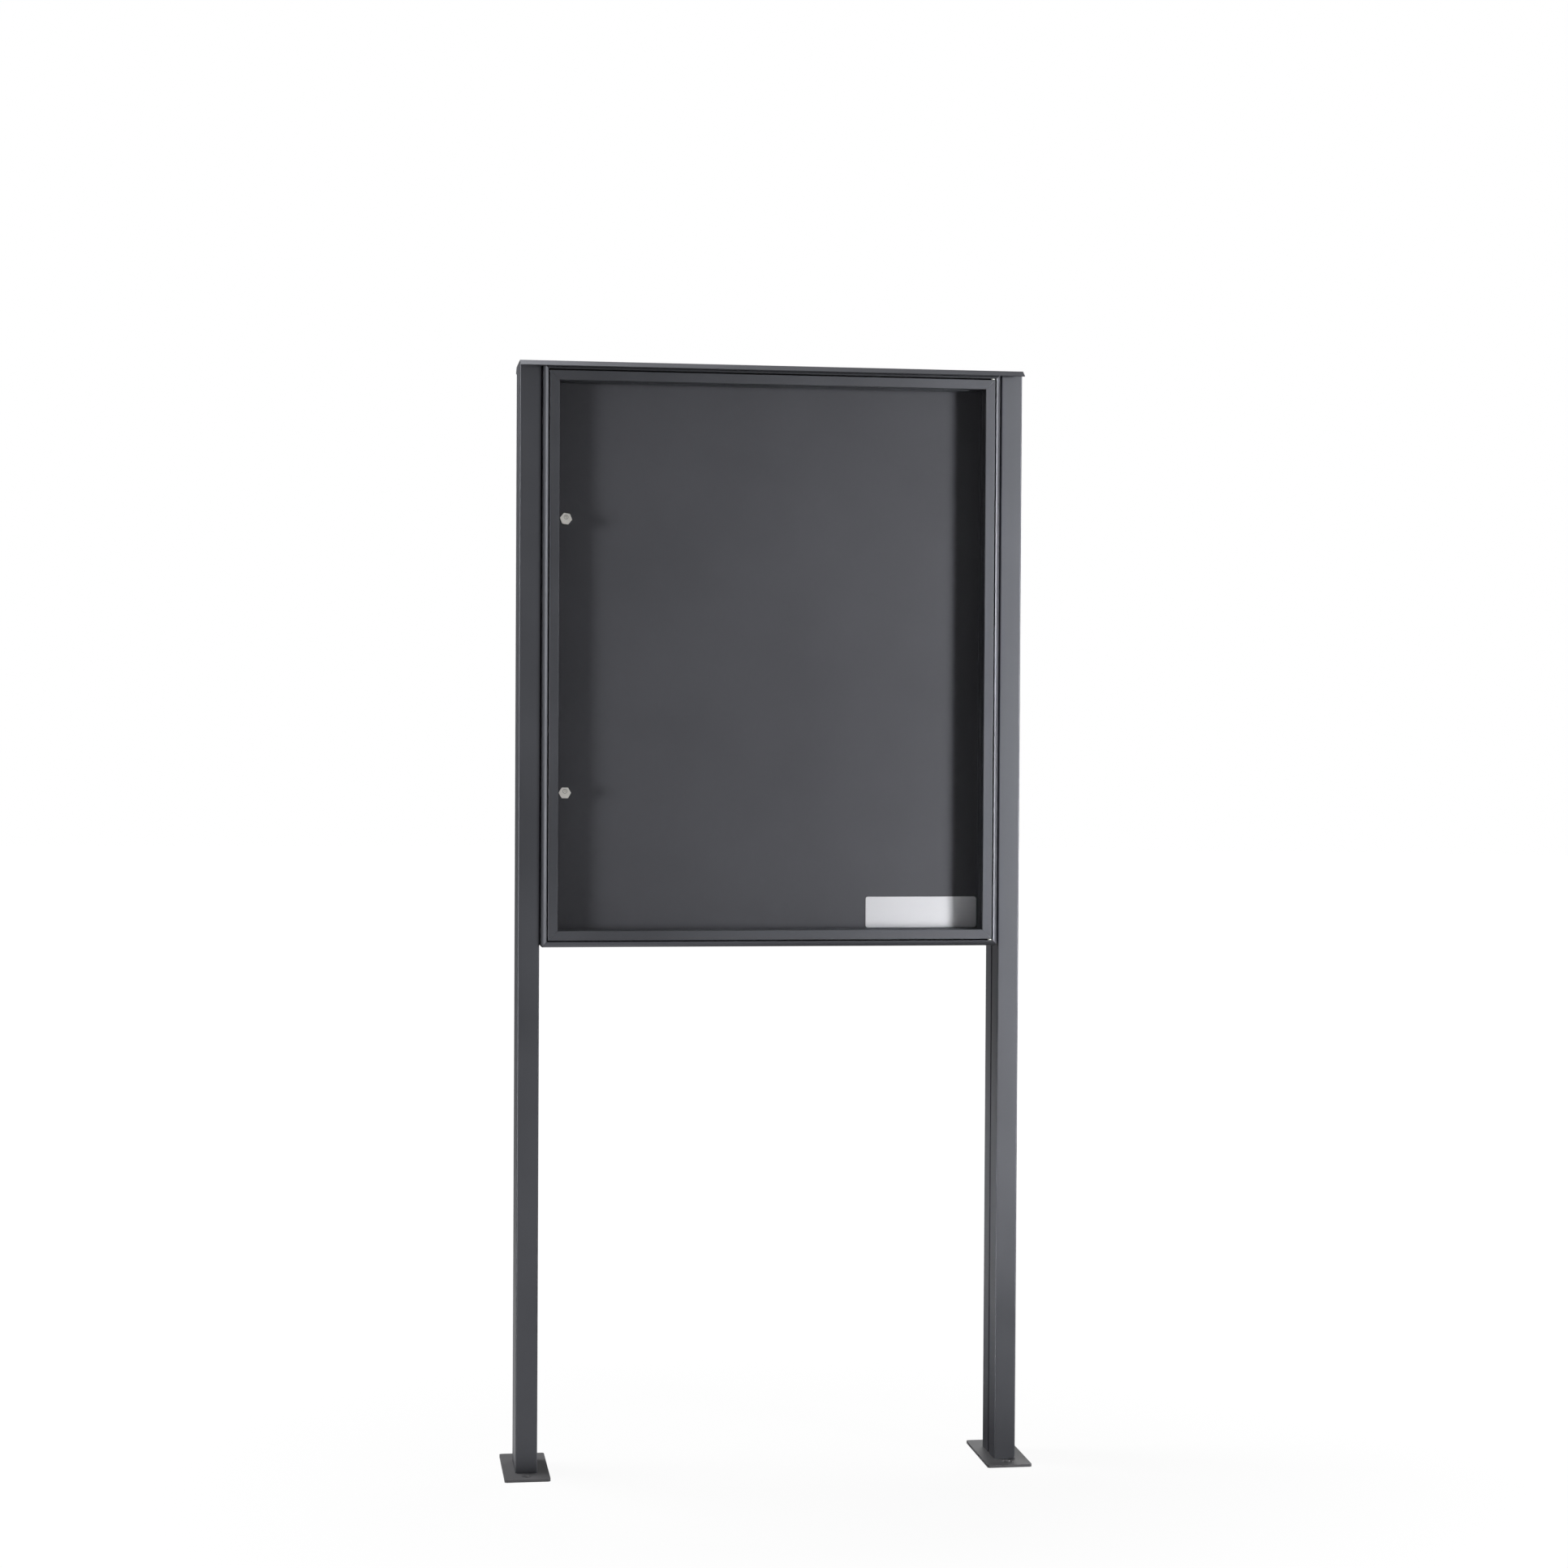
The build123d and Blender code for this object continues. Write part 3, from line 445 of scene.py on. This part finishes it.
def pane_glass(name):
    """Clear glass that lets lamp light straight through, so that the panel behind it is lit"""
    material = bpy.data.materials.new(name)
    material.use_nodes = True
    tree = material.node_tree
    shader = tree.nodes["Principled BSDF"]
    shader.inputs["Metallic"].default_value = 0.0
    shader.inputs["Transmission Weight"].default_value = 1.0
    shader.inputs["Roughness"].default_value = 0.0
    shader.inputs["IOR"].default_value = 1.5
    film = noise_node(tree, object_place(tree), 6.0, 3.0)
    tint = tree.nodes.new("ShaderNodeValToRGB")
    tint.color_ramp.elements[0].position = noise_low
    tint.color_ramp.elements[0].color = (0.972, 0.979, 0.978, 1.0)
    tint.color_ramp.elements[1].position = noise_high
    tint.color_ramp.elements[1].color = (0.985, 0.989, 0.988, 1.0)
    tree.links.new(film, tint.inputs["Fac"])
    tree.links.new(tint.outputs["Color"], shader.inputs["Base Color"])
    clear = tree.nodes.new("ShaderNodeBsdfTransparent")
    clear.inputs["Color"].default_value = (0.955, 0.963, 0.963, 1.0)
    path = tree.nodes.new("ShaderNodeLightPath")
    straight = math_node(tree, "MAXIMUM", path.outputs["Is Shadow Ray"], path.outputs["Is Diffuse Ray"])
    choice = tree.nodes.new("ShaderNodeMixShader")
    tree.links.new(straight, choice.inputs["Fac"])
    tree.links.new(shader.outputs["BSDF"], choice.inputs[1])
    tree.links.new(clear.outputs["BSDF"], choice.inputs[2])
    tree.links.new(choice.outputs["Shader"], tree.nodes["Material Output"].inputs["Surface"])
    return material


def put_finish(material, *slots):
    """Gives one finish to every node of the model in these material slots"""
    wanted = [name for name, slot in slot_of.items() if slot in slots]
    if not wanted:
        raise RuntimeError(f"no node has a slot among {slots}")
    for name in wanted:
        nodes[name].data.materials.clear()
        nodes[name].data.materials.append(material)


# Helpers for the new pieces

def finished_piece(mesh_builder, name, material, body):
    """Turns a bmesh into an object at the origin that moves with one body"""
    bmesh.ops.recalc_face_normals(mesh_builder, faces=mesh_builder.faces)
    mesh = bpy.data.meshes.new(name)
    mesh_builder.to_mesh(mesh)
    mesh_builder.free()
    mesh.materials.append(material)
    piece = bpy.data.objects.new(name, mesh)
    bpy.context.scene.collection.objects.link(piece)
    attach(piece, body)
    return piece


def shape_loop(ring, shape, size, level):
    """Moves points about Z to a circle of a diameter, or to a hexagon of a width across flats"""
    for vertex in ring:
        angle = math.atan2(vertex.co.y, vertex.co.x)
        radius = size / 2
        if shape == "hex":
            radius /= math.cos(angle % (math.pi / 3) - math.pi / 6)
        vertex.co = (radius * math.cos(angle), radius * math.sin(angle), level)


def lofted(builder, loops):
    """A closed skin over loops given from one end to the other, extruded from each to the next"""
    bmesh.ops.create_circle(builder, cap_ends=True, segments=turns, radius=1.0)
    ring = list(builder.verts)
    rim = list(builder.edges)
    shape_loop(ring, *loops[0])
    for loop in loops[1:]:
        made = bmesh.ops.extrude_edge_only(builder, edges=rim)["geom"]
        ring = [item for item in made if isinstance(item, bmesh.types.BMVert)]
        rim = [item for item in made if isinstance(item, bmesh.types.BMEdge) and item.is_boundary]
        shape_loop(ring, *loop)
    bmesh.ops.contextual_create(builder, geom=rim)
    bmesh.ops.poke(builder, faces=[face for face in builder.faces if len(face.verts) == turns])


def screws_piece(name, loops, places, material, body, smooth_angle=35.0):
    """One object with a copy of a screw at each place"""
    whole = bmesh.new()
    lofted(whole, loops)
    first = list(whole.verts) + list(whole.edges) + list(whole.faces)
    for place in places[1:]:
        copy = bmesh.ops.duplicate(whole, geom=first)
        moved = [item for item in copy["geom"] if isinstance(item, bmesh.types.BMVert)]
        bmesh.ops.transform(whole, matrix=place, verts=moved)
    started = [item for item in first if isinstance(item, bmesh.types.BMVert)]
    bmesh.ops.transform(whole, matrix=places[0], verts=started)
    piece = finished_piece(whole, name, material, body)
    shade_by_angle(piece, smooth_angle)
    return piece


def shade_by_angle(piece, degrees):
    """Smooth shading with sharp edges kept where two faces meet at a wider angle"""
    piece.data.shade_smooth()
    builder = bmesh.new()
    builder.from_mesh(piece.data)
    for edge in builder.edges:
        if len(edge.link_faces) == 2:
            edge.smooth = edge.calc_face_angle() < math.radians(degrees)
    builder.to_mesh(piece.data)
    builder.free()


def steel():
    finish = bpy.context.scene.notice_board_finish
    return metal("screw_steel_finish", finish.steel_colour, 0.28, (2500.0, 2500.0, 2500.0), streak=0.05)


# Operators, one for each piece or group of like pieces

class NOTICEBOARD_OT_coat_metalwork(bpy.types.Operator):
    """Powder coat on the posts, rain cap, case, door, glazing beads, back panel and base plates"""
    bl_idname = "notice_board.coat_metalwork"
    bl_label = "Coat Metalwork"

    def execute(self, context):
        finish = context.scene.notice_board_finish
        grain = finish.grain_size
        rough = finish.coat_roughness
        for slot in ("post_coat", "cap_coat", "case_coat", "door_coat", "bead_coat"):
            put_finish(coat(f"{slot}_finish", finish.coat_colour, rough, grain, metallic=0.6), slot)
        panel = coat("panel_coat_finish", finish.panel_colour, rough + 0.06, 0.6 * grain, speckle=0.06,
                     bump=0.008 * mm, specular=0.2)
        put_finish(panel, "panel_coat")
        # The base plates get the lighter coat, painted light standing for light from above on their upward
        # faces
        put_finish(coat("plate_steel_finish", finish.base_colour_with_painted_light, rough, grain), "plate_steel")
        return {"FINISHED"}


class NOTICEBOARD_OT_glaze_door(bpy.types.Operator):
    """Clear pane, with black rubber for its gasket, the door seal and the lock washers"""
    bl_idname = "notice_board.glaze_door"
    bl_label = "Glaze Door"

    def execute(self, context):
        finish = context.scene.notice_board_finish
        put_finish(pane_glass("clear_pane_finish"), "clear_pane")
        rubber = moulding("black_rubber_finish", finish.rubber_colour, 0.66, 0.8 * mm)
        put_finish(rubber, "black_rubber")
        return {"FINISHED"}


class NOTICEBOARD_OT_finish_small_parts(bpy.types.Operator):
    """Finishes of the corner caps, cleats, slot nuts and pivots"""
    bl_idname = "notice_board.finish_small_parts"
    bl_label = "Finish Small Parts"

    def execute(self, context):
        finish = context.scene.notice_board_finish
        plastic = moulding("black_plastic_finish", finish.plastic_colour, 0.55, 0.5 * mm)
        put_finish(plastic, "black_plastic")
        nylon = moulding("white_nylon_finish", finish.nylon_colour, 0.45, 0.4 * mm, specks=0.04)
        put_finish(nylon, "white_nylon")
        cleat = metal("cleat_aluminium_finish", finish.cleat_colour, 0.34, (300.0, 3000.0, 3000.0))
        put_finish(cleat, "cleat_aluminium")
        put_finish(steel(), "screw_steel")
        pin = metal("pin_steel_finish", finish.steel_colour, 0.2, (3000.0, 3000.0, 200.0))
        put_finish(pin, "pin_steel")
        return {"FINISHED"}


class NOTICEBOARD_OT_finish_locks(bpy.types.Operator):
    """Plating of the locks, with a dark ring of painted shade for the shadow gap round each plug, and a
    brass pin on each lock face
    """
    bl_idname = "notice_board.finish_locks"
    bl_label = "Finish Locks"

    def execute(self, context):
        finish = context.scene.notice_board_finish
        fittings = context.scene.notice_board_fittings
        nickel = metal("nickel_finish", finish.nickel_colour, 0.46, (900.0, 900.0, 900.0), streak=0.03,
                       bump=0.0005 * mm, metallic=0.6)
        put_finish(nickel, "nickel")
        plug = metal("plug_nickel_finish", finish.nickel_colour, 0.46, (2600.0, 2600.0, 300.0))
        put_finish(plug, "plug_nickel")
        cam = coat("cam_steel_finish", finish.cam_colour, 0.42, 0.4 * mm, bump=0.004 * mm)
        put_finish(cam, "cam_steel")
        # The dark ring is painted shade, standing for the shadow in the gap round each lock plug
        dark = moulding("lock_ring_finish", finish.painted_shade_ring_colour, 0.5, 0.3 * mm)
        brass = metal("lock_pin_finish", finish.brass_colour, 0.25, (2500.0, 2500.0, 2500.0))
        for word in ("upper", "lower"):
            low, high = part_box(f"{word}_lock_plug")
            stem_low, stem_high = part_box(f"{word}_cam_screw")
            axis_x = (stem_low.x + stem_high.x) / 2
            axis_z = (stem_low.z + stem_high.z) / 2
            turn = Matrix.Rotation(math.radians(90), 4, "X")
            face = Matrix.Translation((axis_x, low.y, axis_z)) @ turn
            self.lay_shade_ring(word, face, high.x - low.x, fittings, dark)
            self.set_pin(word, face, fittings, brass)
        return {"FINISHED"}

    def lay_shade_ring(self, word, face, plug_width, sizes, material):
        """A flat dark ring of painted shade, standing for the shadow in the gap round the plug, with a
        sloping outer edge, a little wider than the plug
        """
        inner = plug_width / 2 + sizes.shade_ring_gap
        outer = inner + sizes.shade_ring_width
        rise = sizes.shade_ring_height
        ring = bmesh.new()
        profile = [(inner, 0.0), (inner, rise), (outer - rise, rise), (outer, 0.0)]
        corners = [ring.verts.new((radius, 0.0, level)) for radius, level in profile]
        edges = [ring.edges.new(pair) for pair in zip(corners, corners[1:] + corners[:1])]
        bmesh.ops.spin(ring, geom=corners + edges, cent=(0.0, 0.0, 0.0), axis=(0.0, 0.0, 1.0),
                       angle=2 * math.pi, steps=turns, use_merge=True)
        bmesh.ops.transform(ring, matrix=face, verts=ring.verts)
        piece = finished_piece(ring, f"{word}_lock_shade_ring", material, "door")
        shade_by_angle(piece, 40.0)

    def set_pin(self, word, face, sizes, material):
        """A small domed pin, sunk a little into the plug"""
        width = 2 * sizes.dot_radius
        rise = sizes.dot_height
        sunk = 0.5 * mm
        pin = bmesh.new()
        lofted(pin, [("round", width, -sunk), ("round", width, 0.375 * rise),
                     ("round", 0.75 * width, 0.8 * rise), ("round", 0.3 * width, rise)])
        bmesh.ops.transform(pin, matrix=face, verts=pin.verts)
        piece = finished_piece(pin, f"{word}_lock_pin", material, f"{word}_lock")
        shade_by_angle(piece, 60.0)


class NOTICEBOARD_OT_fit_plate(bpy.types.Operator):
    """Bare satin plate in the lower right corner of the back panel"""
    bl_idname = "notice_board.fit_plate"
    bl_label = "Fit Plate"

    def execute(self, context):
        sizes = context.scene.notice_board_plate
        finish = context.scene.notice_board_finish
        panel_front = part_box("back_panel")[0].y
        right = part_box("case_right_stile")[0].x - sizes.corner_gap
        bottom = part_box("case_bottom_rail")[1].z + sizes.corner_gap
        builder = bmesh.new()
        bmesh.ops.create_cube(builder, size=1.0)
        bmesh.ops.scale(builder, vec=(sizes.width, sizes.thickness, sizes.height), verts=builder.verts)
        upright = [edge for edge in builder.edges
                   if abs(edge.verts[0].co.y - edge.verts[1].co.y) > sizes.thickness / 2]
        bmesh.ops.bevel(builder, geom=upright, offset=sizes.corner_radius, segments=8, profile=0.5,
                        affect="EDGES", material=-1)
        rim = [edge for edge in builder.edges if all(v.co.y < -sizes.thickness / 4 for v in edge.verts)]
        bmesh.ops.bevel(builder, geom=rim, offset=0.3 * sizes.thickness, segments=3, profile=0.5,
                        affect="EDGES", material=-1)
        middle = (right - sizes.width / 2, panel_front - sizes.thickness / 2, bottom + sizes.height / 2)
        bmesh.ops.translate(builder, vec=middle, verts=builder.verts)
        along = (60.0, 4000.0, 4000.0)
        silver = metal("bare_plate_finish", finish.silver_colour, 0.42, along, streak=0.05, metallic=0.2)
        piece = finished_piece(builder, "bare_plate", silver, "stand")
        shade_by_angle(piece, 35.0)
        return {"FINISHED"}


class NOTICEBOARD_OT_fit_cap_screws(bpy.types.Operator):
    """Low domed socket screws that hold the rain cap to the posts"""
    bl_idname = "notice_board.fit_cap_screws"
    bl_label = "Fit Cap Screws"

    def execute(self, context):
        sizes = context.scene.notice_board_fittings
        low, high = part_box("cap_screws")
        cap_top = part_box("rain_cap")[1].z
        rise = high.z - cap_top
        length = cap_top - low.z
        head = sizes.cap_head
        loops = [("hex", sizes.cap_socket, 0.25 * rise), ("hex", sizes.cap_socket, rise),
                 ("round", 0.5 * head, rise), ("round", 0.68 * head, 0.93 * rise),
                 ("round", 0.84 * head, 0.74 * rise), ("round", 0.95 * head, 0.44 * rise),
                 ("round", head, 0.15 * rise), ("round", head, 0.0),
                 ("round", sizes.screw_shank, 0.0),
                 ("round", sizes.screw_shank, sizes.screw_point - length),
                 ("round", 0.7 * sizes.screw_shank, -length)]
        reach = Vector((high.x - head / 2, high.y - head / 2))
        places = [Matrix.Translation((side * reach.x, end * reach.y, cap_top))
                  for side in (-1, 1) for end in (-1, 1)]
        piece = screws_piece("rain_cap_screws", loops, places, steel(), "stand")
        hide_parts("cap_screws")
        return {"FINISHED"}


class NOTICEBOARD_OT_fit_foot_screws(bpy.types.Operator):
    """Countersunk socket screws that hold the base plates to the posts"""
    bl_idname = "notice_board.fit_foot_screws"
    bl_label = "Fit Foot Screws"

    def execute(self, context):
        sizes = context.scene.notice_board_fittings
        low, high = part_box("foot_screws")
        head = sizes.foot_head
        length = high.z - low.z
        cone = (head - sizes.screw_shank) / 2
        loops = [("hex", sizes.foot_socket, -sizes.foot_socket_depth), ("hex", sizes.foot_socket, 0.0),
                 ("round", head, 0.0), ("round", sizes.screw_shank, -cone),
                 ("round", sizes.screw_shank, sizes.screw_point - length),
                 ("round", 0.7 * sizes.screw_shank, -length)]
        reach = Vector((high.x - head / 2, high.y - head / 2))
        turn = Matrix.Rotation(math.pi, 4, "X")
        places = [Matrix.Translation((side * reach.x, end * reach.y, low.z)) @ turn
                  for side in (-1, 1) for end in (-1, 1)]
        piece = screws_piece("base_plate_screws", loops, places, steel(), "stand")
        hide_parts("foot_screws")
        return {"FINISHED"}


class NOTICEBOARD_OT_fit_case_bolts(bpy.types.Operator):
    """Hexagon bolts that hold the case to the nuts in the post slots"""
    bl_idname = "notice_board.fit_case_bolts"
    bl_label = "Fit Case Bolts"

    def execute(self, context):
        sizes = context.scene.notice_board_fittings
        low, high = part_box("case_fixing_bolts")
        flats = sizes.bolt_flats
        rise = sizes.bolt_head
        length = sizes.bolt_length
        shank = sizes.bolt_shank
        loops = [("round", 0.86 * flats, rise), ("round", 0.97 * flats, 0.93 * rise),
                 ("hex", flats, 0.8 * rise), ("hex", flats, 0.0), ("round", shank, 0.0),
                 ("round", shank, sizes.bolt_point - length), ("round", 0.75 * shank, -length)]
        corner = flats / 2 / math.cos(math.pi / 6)
        seat = high.x - length
        middle = (low.y + high.y) / 2
        places = []
        for side in (-1, 1):
            turn = Matrix.Rotation(-side * math.pi / 2, 4, "Y")
            for level in (low.z + corner, high.z - corner):
                places.append(Matrix.Translation((side * seat, middle, level)) @ turn)
        piece = screws_piece("case_bolts", loops, places, steel(), "stand", smooth_angle=28.0)
        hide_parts("case_fixing_bolts")
        return {"FINISHED"}


class NOTICEBOARD_OT_fit_cam_screws(bpy.types.Operator):
    """Small socket screws that hold the cams on the lock plugs"""
    bl_idname = "notice_board.fit_cam_screws"
    bl_label = "Fit Cam Screws"

    def execute(self, context):
        sizes = context.scene.notice_board_fittings
        for word in ("upper", "lower"):
            low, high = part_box(f"{word}_cam_screw")
            head = high.x - low.x
            rise = sizes.cam_head
            length = high.y - low.y - rise
            loops = [("hex", sizes.cam_socket, 0.35 * rise), ("hex", sizes.cam_socket, rise),
                     ("round", 0.62 * head, rise), ("round", 0.88 * head, 0.82 * rise),
                     ("round", head, 0.45 * rise), ("round", head, 0.0),
                     ("round", sizes.cam_shank, 0.0), ("round", sizes.cam_shank, -length)]
            middle = ((low.x + high.x) / 2, high.y - rise, (low.z + high.z) / 2)
            place = Matrix.Translation(middle) @ Matrix.Rotation(-math.pi / 2, 4, "X")
            piece = screws_piece(f"{word}_cam_fixing", loops, [place], steel(), f"{word}_lock")
            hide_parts(f"{word}_cam_screw")
        return {"FINISHED"}


class NOTICEBOARD_OT_set_stage(bpy.types.Operator):
    """Pale floor, white surroundings, soft lamps and the camera"""
    bl_idname = "notice_board.set_stage"
    bl_label = "Set Stage"

    def execute(self, context):
        scene = context.scene
        stage = scene.notice_board_stage
        scene.view_settings.view_transform = "Standard"
        self.place_camera(scene, stage)
        self.light_room(scene, stage)
        self.lay_floor(stage)
        spread = stage.lamp_spread
        # Name, power and spread of each lamp, then its place, the point that it faces and its size
        lamps = (
            ("key_lamp", stage.key_power, spread,
             (3.9, -3.2, 1.32), (1.25, -0.05, 1.32), (1.6, 2.2)),
            ("fill_lamp", stage.fill_power, spread,
             (-2.2, -1.25, 1.25), (-0.62, -0.05, 1.25), (0.8, 2.0)),
            ("slot_lamp", stage.slot_power, spread / 2,
             (-1.5, -0.95, 0.4), (0.43, -0.03, 0.37), (0.4, 0.64)),
            ("top_lamp", stage.top_power, math.pi,
             (-1.1, 0.3, 3.6), (-0.4, 0.0, 2.05), (0.8, 0.8)),
            ("rear_lamp", stage.rear_power, math.pi,
             (1.3, 2.2, 1.7), (0.0, -0.05, 1.4), (1.6, 1.6)),
        )
        for lamp in lamps:
            self.hang_lamp(*lamp)
        return {"FINISHED"}

    def place_camera(self, scene, stage):
        yaw, pitch, roll = stage.camera_yaw, stage.camera_pitch, stage.camera_roll
        reach = math.cos(pitch)
        ahead = Vector((math.sin(yaw) * reach, math.cos(yaw) * reach, -math.sin(pitch)))
        level = Vector((math.cos(yaw), -math.sin(yaw), 0.0))
        above = level.cross(ahead)
        right = math.cos(roll) * level + math.sin(roll) * above
        up = math.cos(roll) * above - math.sin(roll) * level
        camera = bpy.data.objects.new("camera", bpy.data.cameras.new("camera"))
        turn = Matrix((right, up, -ahead)).transposed().to_4x4()
        camera.matrix_world = Matrix.Translation(stage.camera_place) @ turn
        camera.data.sensor_fit = "HORIZONTAL"
        camera.data.sensor_width = 36.0
        camera.data.lens = stage.lens
        scene.collection.objects.link(camera)
        scene.camera = camera

    def light_room(self, scene, stage):
        """White wherever the camera looks, dimmer in front of the board in gloss, low for bounced light"""
        world = bpy.data.worlds.new("room")
        world.use_nodes = True
        tree = world.node_tree
        front = (0.14, -0.99, 0.02)
        direction = tree.nodes.new("ShaderNodeTexCoord").outputs["Generated"]
        ahead = tree.nodes.new("ShaderNodeVectorMath")
        ahead.operation = "DOT_PRODUCT"
        tree.links.new(direction, ahead.inputs[0])
        ahead.inputs[1].default_value = front
        around = range_node(tree, ahead.outputs["Value"], -0.9, -0.3, stage.room_back, stage.room_gloss)
        sheen = range_node(tree, ahead.outputs["Value"], 0.85, 0.97, around, stage.room_front)
        seen, mirrored = ray_masks(tree)
        bare = range_node(tree, seen, 0.0, 1.0, stage.room_light, 1.0)
        strength = range_node(tree, mirrored, 0.0, 1.0, bare, sheen)
        background = tree.nodes["Background"]
        background.inputs["Color"].default_value = (1.0, 1.0, 1.0, 1.0)
        tree.links.new(strength, background.inputs["Strength"])
        scene.world = world

    def lay_floor(self, stage):
        """A wide disc, white to the camera away from the board, with its shadow, and dimmer in gloss"""
        fade_start = 0.6
        fade_end = 2.4
        under_board = 0.9
        floor_glow = 1.05
        material = bpy.data.materials.new("floor_white")
        material.use_nodes = True
        tree = material.node_tree
        tree.nodes.remove(tree.nodes["Principled BSDF"])
        distance = tree.nodes.new("ShaderNodeVectorMath")
        distance.operation = "LENGTH"
        tree.links.new(object_place(tree), distance.inputs[0])
        white = range_node(tree, distance.outputs["Value"], fade_start, fade_end, under_board, 1.0)
        place = tree.nodes.new("ShaderNodeSeparateXYZ")
        tree.links.new(object_place(tree), place.inputs["Vector"])
        left = range_node(tree, place.outputs["X"], -1.4, -0.7, stage.room_back, 1.0)
        behind = range_node(tree, place.outputs["X"], -0.2, 0.1, left, stage.room_front)
        sheen = range_node(tree, place.outputs["Y"], -4.0, -1.2, stage.room_front, behind)
        seen, mirrored = ray_masks(tree)
        bare = math_node(tree, "MULTIPLY", white, seen)
        share = range_node(tree, mirrored, 0.0, 1.0, bare, 1.0)
        strength = range_node(tree, mirrored, 0.0, 1.0, floor_glow, sheen)
        matt = tree.nodes.new("ShaderNodeBsdfDiffuse")
        matt.inputs["Color"].default_value = (0.8, 0.8, 0.8, 1.0)
        glow = tree.nodes.new("ShaderNodeEmission")
        tree.links.new(strength, glow.inputs["Strength"])
        choice = tree.nodes.new("ShaderNodeMixShader")
        tree.links.new(share, choice.inputs["Fac"])
        tree.links.new(matt.outputs["BSDF"], choice.inputs[1])
        tree.links.new(glow.outputs["Emission"], choice.inputs[2])
        tree.links.new(choice.outputs["Shader"], tree.nodes["Material Output"].inputs["Surface"])
        builder = bmesh.new()
        bmesh.ops.create_circle(builder, cap_ends=True, segments=96, radius=stage.floor_radius,
                                matrix=Matrix.Translation((0.0, 0.0, -0.3 * mm)))
        mesh = bpy.data.meshes.new("floor")
        builder.to_mesh(mesh)
        builder.free()
        mesh.materials.append(material)
        floor = bpy.data.objects.new("floor", mesh)
        bpy.context.scene.collection.objects.link(floor)

    def hang_lamp(self, name, power, spread, place, aim, size):
        """A soft rectangular lamp that the camera and the glass don't show"""
        lamp = bpy.data.lights.new(name, "AREA")
        lamp.spread = spread
        lamp.shape = "RECTANGLE"
        lamp.size, lamp.size_y = size
        lamp.energy = power
        holder = bpy.data.objects.new(name, lamp)
        holder.location = place
        holder.rotation_euler = (Vector(aim) - Vector(place)).to_track_quat("-Z", "Y").to_euler()
        holder.visible_camera = False
        holder.visible_transmission = False
        bpy.context.scene.collection.objects.link(holder)


class NOTICEBOARD_PT_sidebar(bpy.types.Panel):
    """Lists the steps that dress the notice board, with their sizes and colours"""
    bl_idname = "NOTICEBOARD_PT_sidebar"
    bl_label = "Notice Board"
    bl_space_type = "VIEW_3D"
    bl_region_type = "UI"
    bl_category = "Notice Board"

    def draw(self, context):
        for step in steps:
            self.layout.operator(step.bl_idname)
        for group in settings:
            box = self.layout.box()
            held = getattr(context.scene, group)
            for name in held.bl_rna.properties.keys():
                if name not in ("rna_type", "name"):
                    box.prop(held, name)


settings = {
    "notice_board_finish": NoticeBoardFinish,
    "notice_board_plate": NoticeBoardPlate,
    "notice_board_fittings": NoticeBoardFittings,
    "notice_board_stage": NoticeBoardStage,
}
steps = (
    NOTICEBOARD_OT_coat_metalwork,
    NOTICEBOARD_OT_glaze_door,
    NOTICEBOARD_OT_finish_small_parts,
    NOTICEBOARD_OT_finish_locks,
    NOTICEBOARD_OT_fit_plate,
    NOTICEBOARD_OT_fit_cap_screws,
    NOTICEBOARD_OT_fit_foot_screws,
    NOTICEBOARD_OT_fit_case_bolts,
    NOTICEBOARD_OT_fit_cam_screws,
    NOTICEBOARD_OT_set_stage,
)


def register():
    for group in settings.values():
        bpy.utils.register_class(group)
    for step in (*steps, NOTICEBOARD_PT_sidebar):
        bpy.utils.register_class(step)
    for name, group in settings.items():
        setattr(bpy.types.Scene, name, bpy.props.PointerProperty(type=group))


def unregister():
    for name in settings:
        delattr(bpy.types.Scene, name)
    for step in reversed((*steps, NOTICEBOARD_PT_sidebar)):
        bpy.utils.unregister_class(step)
    for group in reversed(list(settings.values())):
        bpy.utils.unregister_class(group)


def main():
    register()
    bpy.ops.notice_board.coat_metalwork()
    bpy.ops.notice_board.glaze_door()
    bpy.ops.notice_board.finish_small_parts()
    bpy.ops.notice_board.finish_locks()
    bpy.ops.notice_board.fit_plate()
    bpy.ops.notice_board.fit_cap_screws()
    bpy.ops.notice_board.fit_foot_screws()
    bpy.ops.notice_board.fit_case_bolts()
    bpy.ops.notice_board.fit_cam_screws()
    bpy.ops.notice_board.set_stage()


if __name__ == "__main__":
    main()
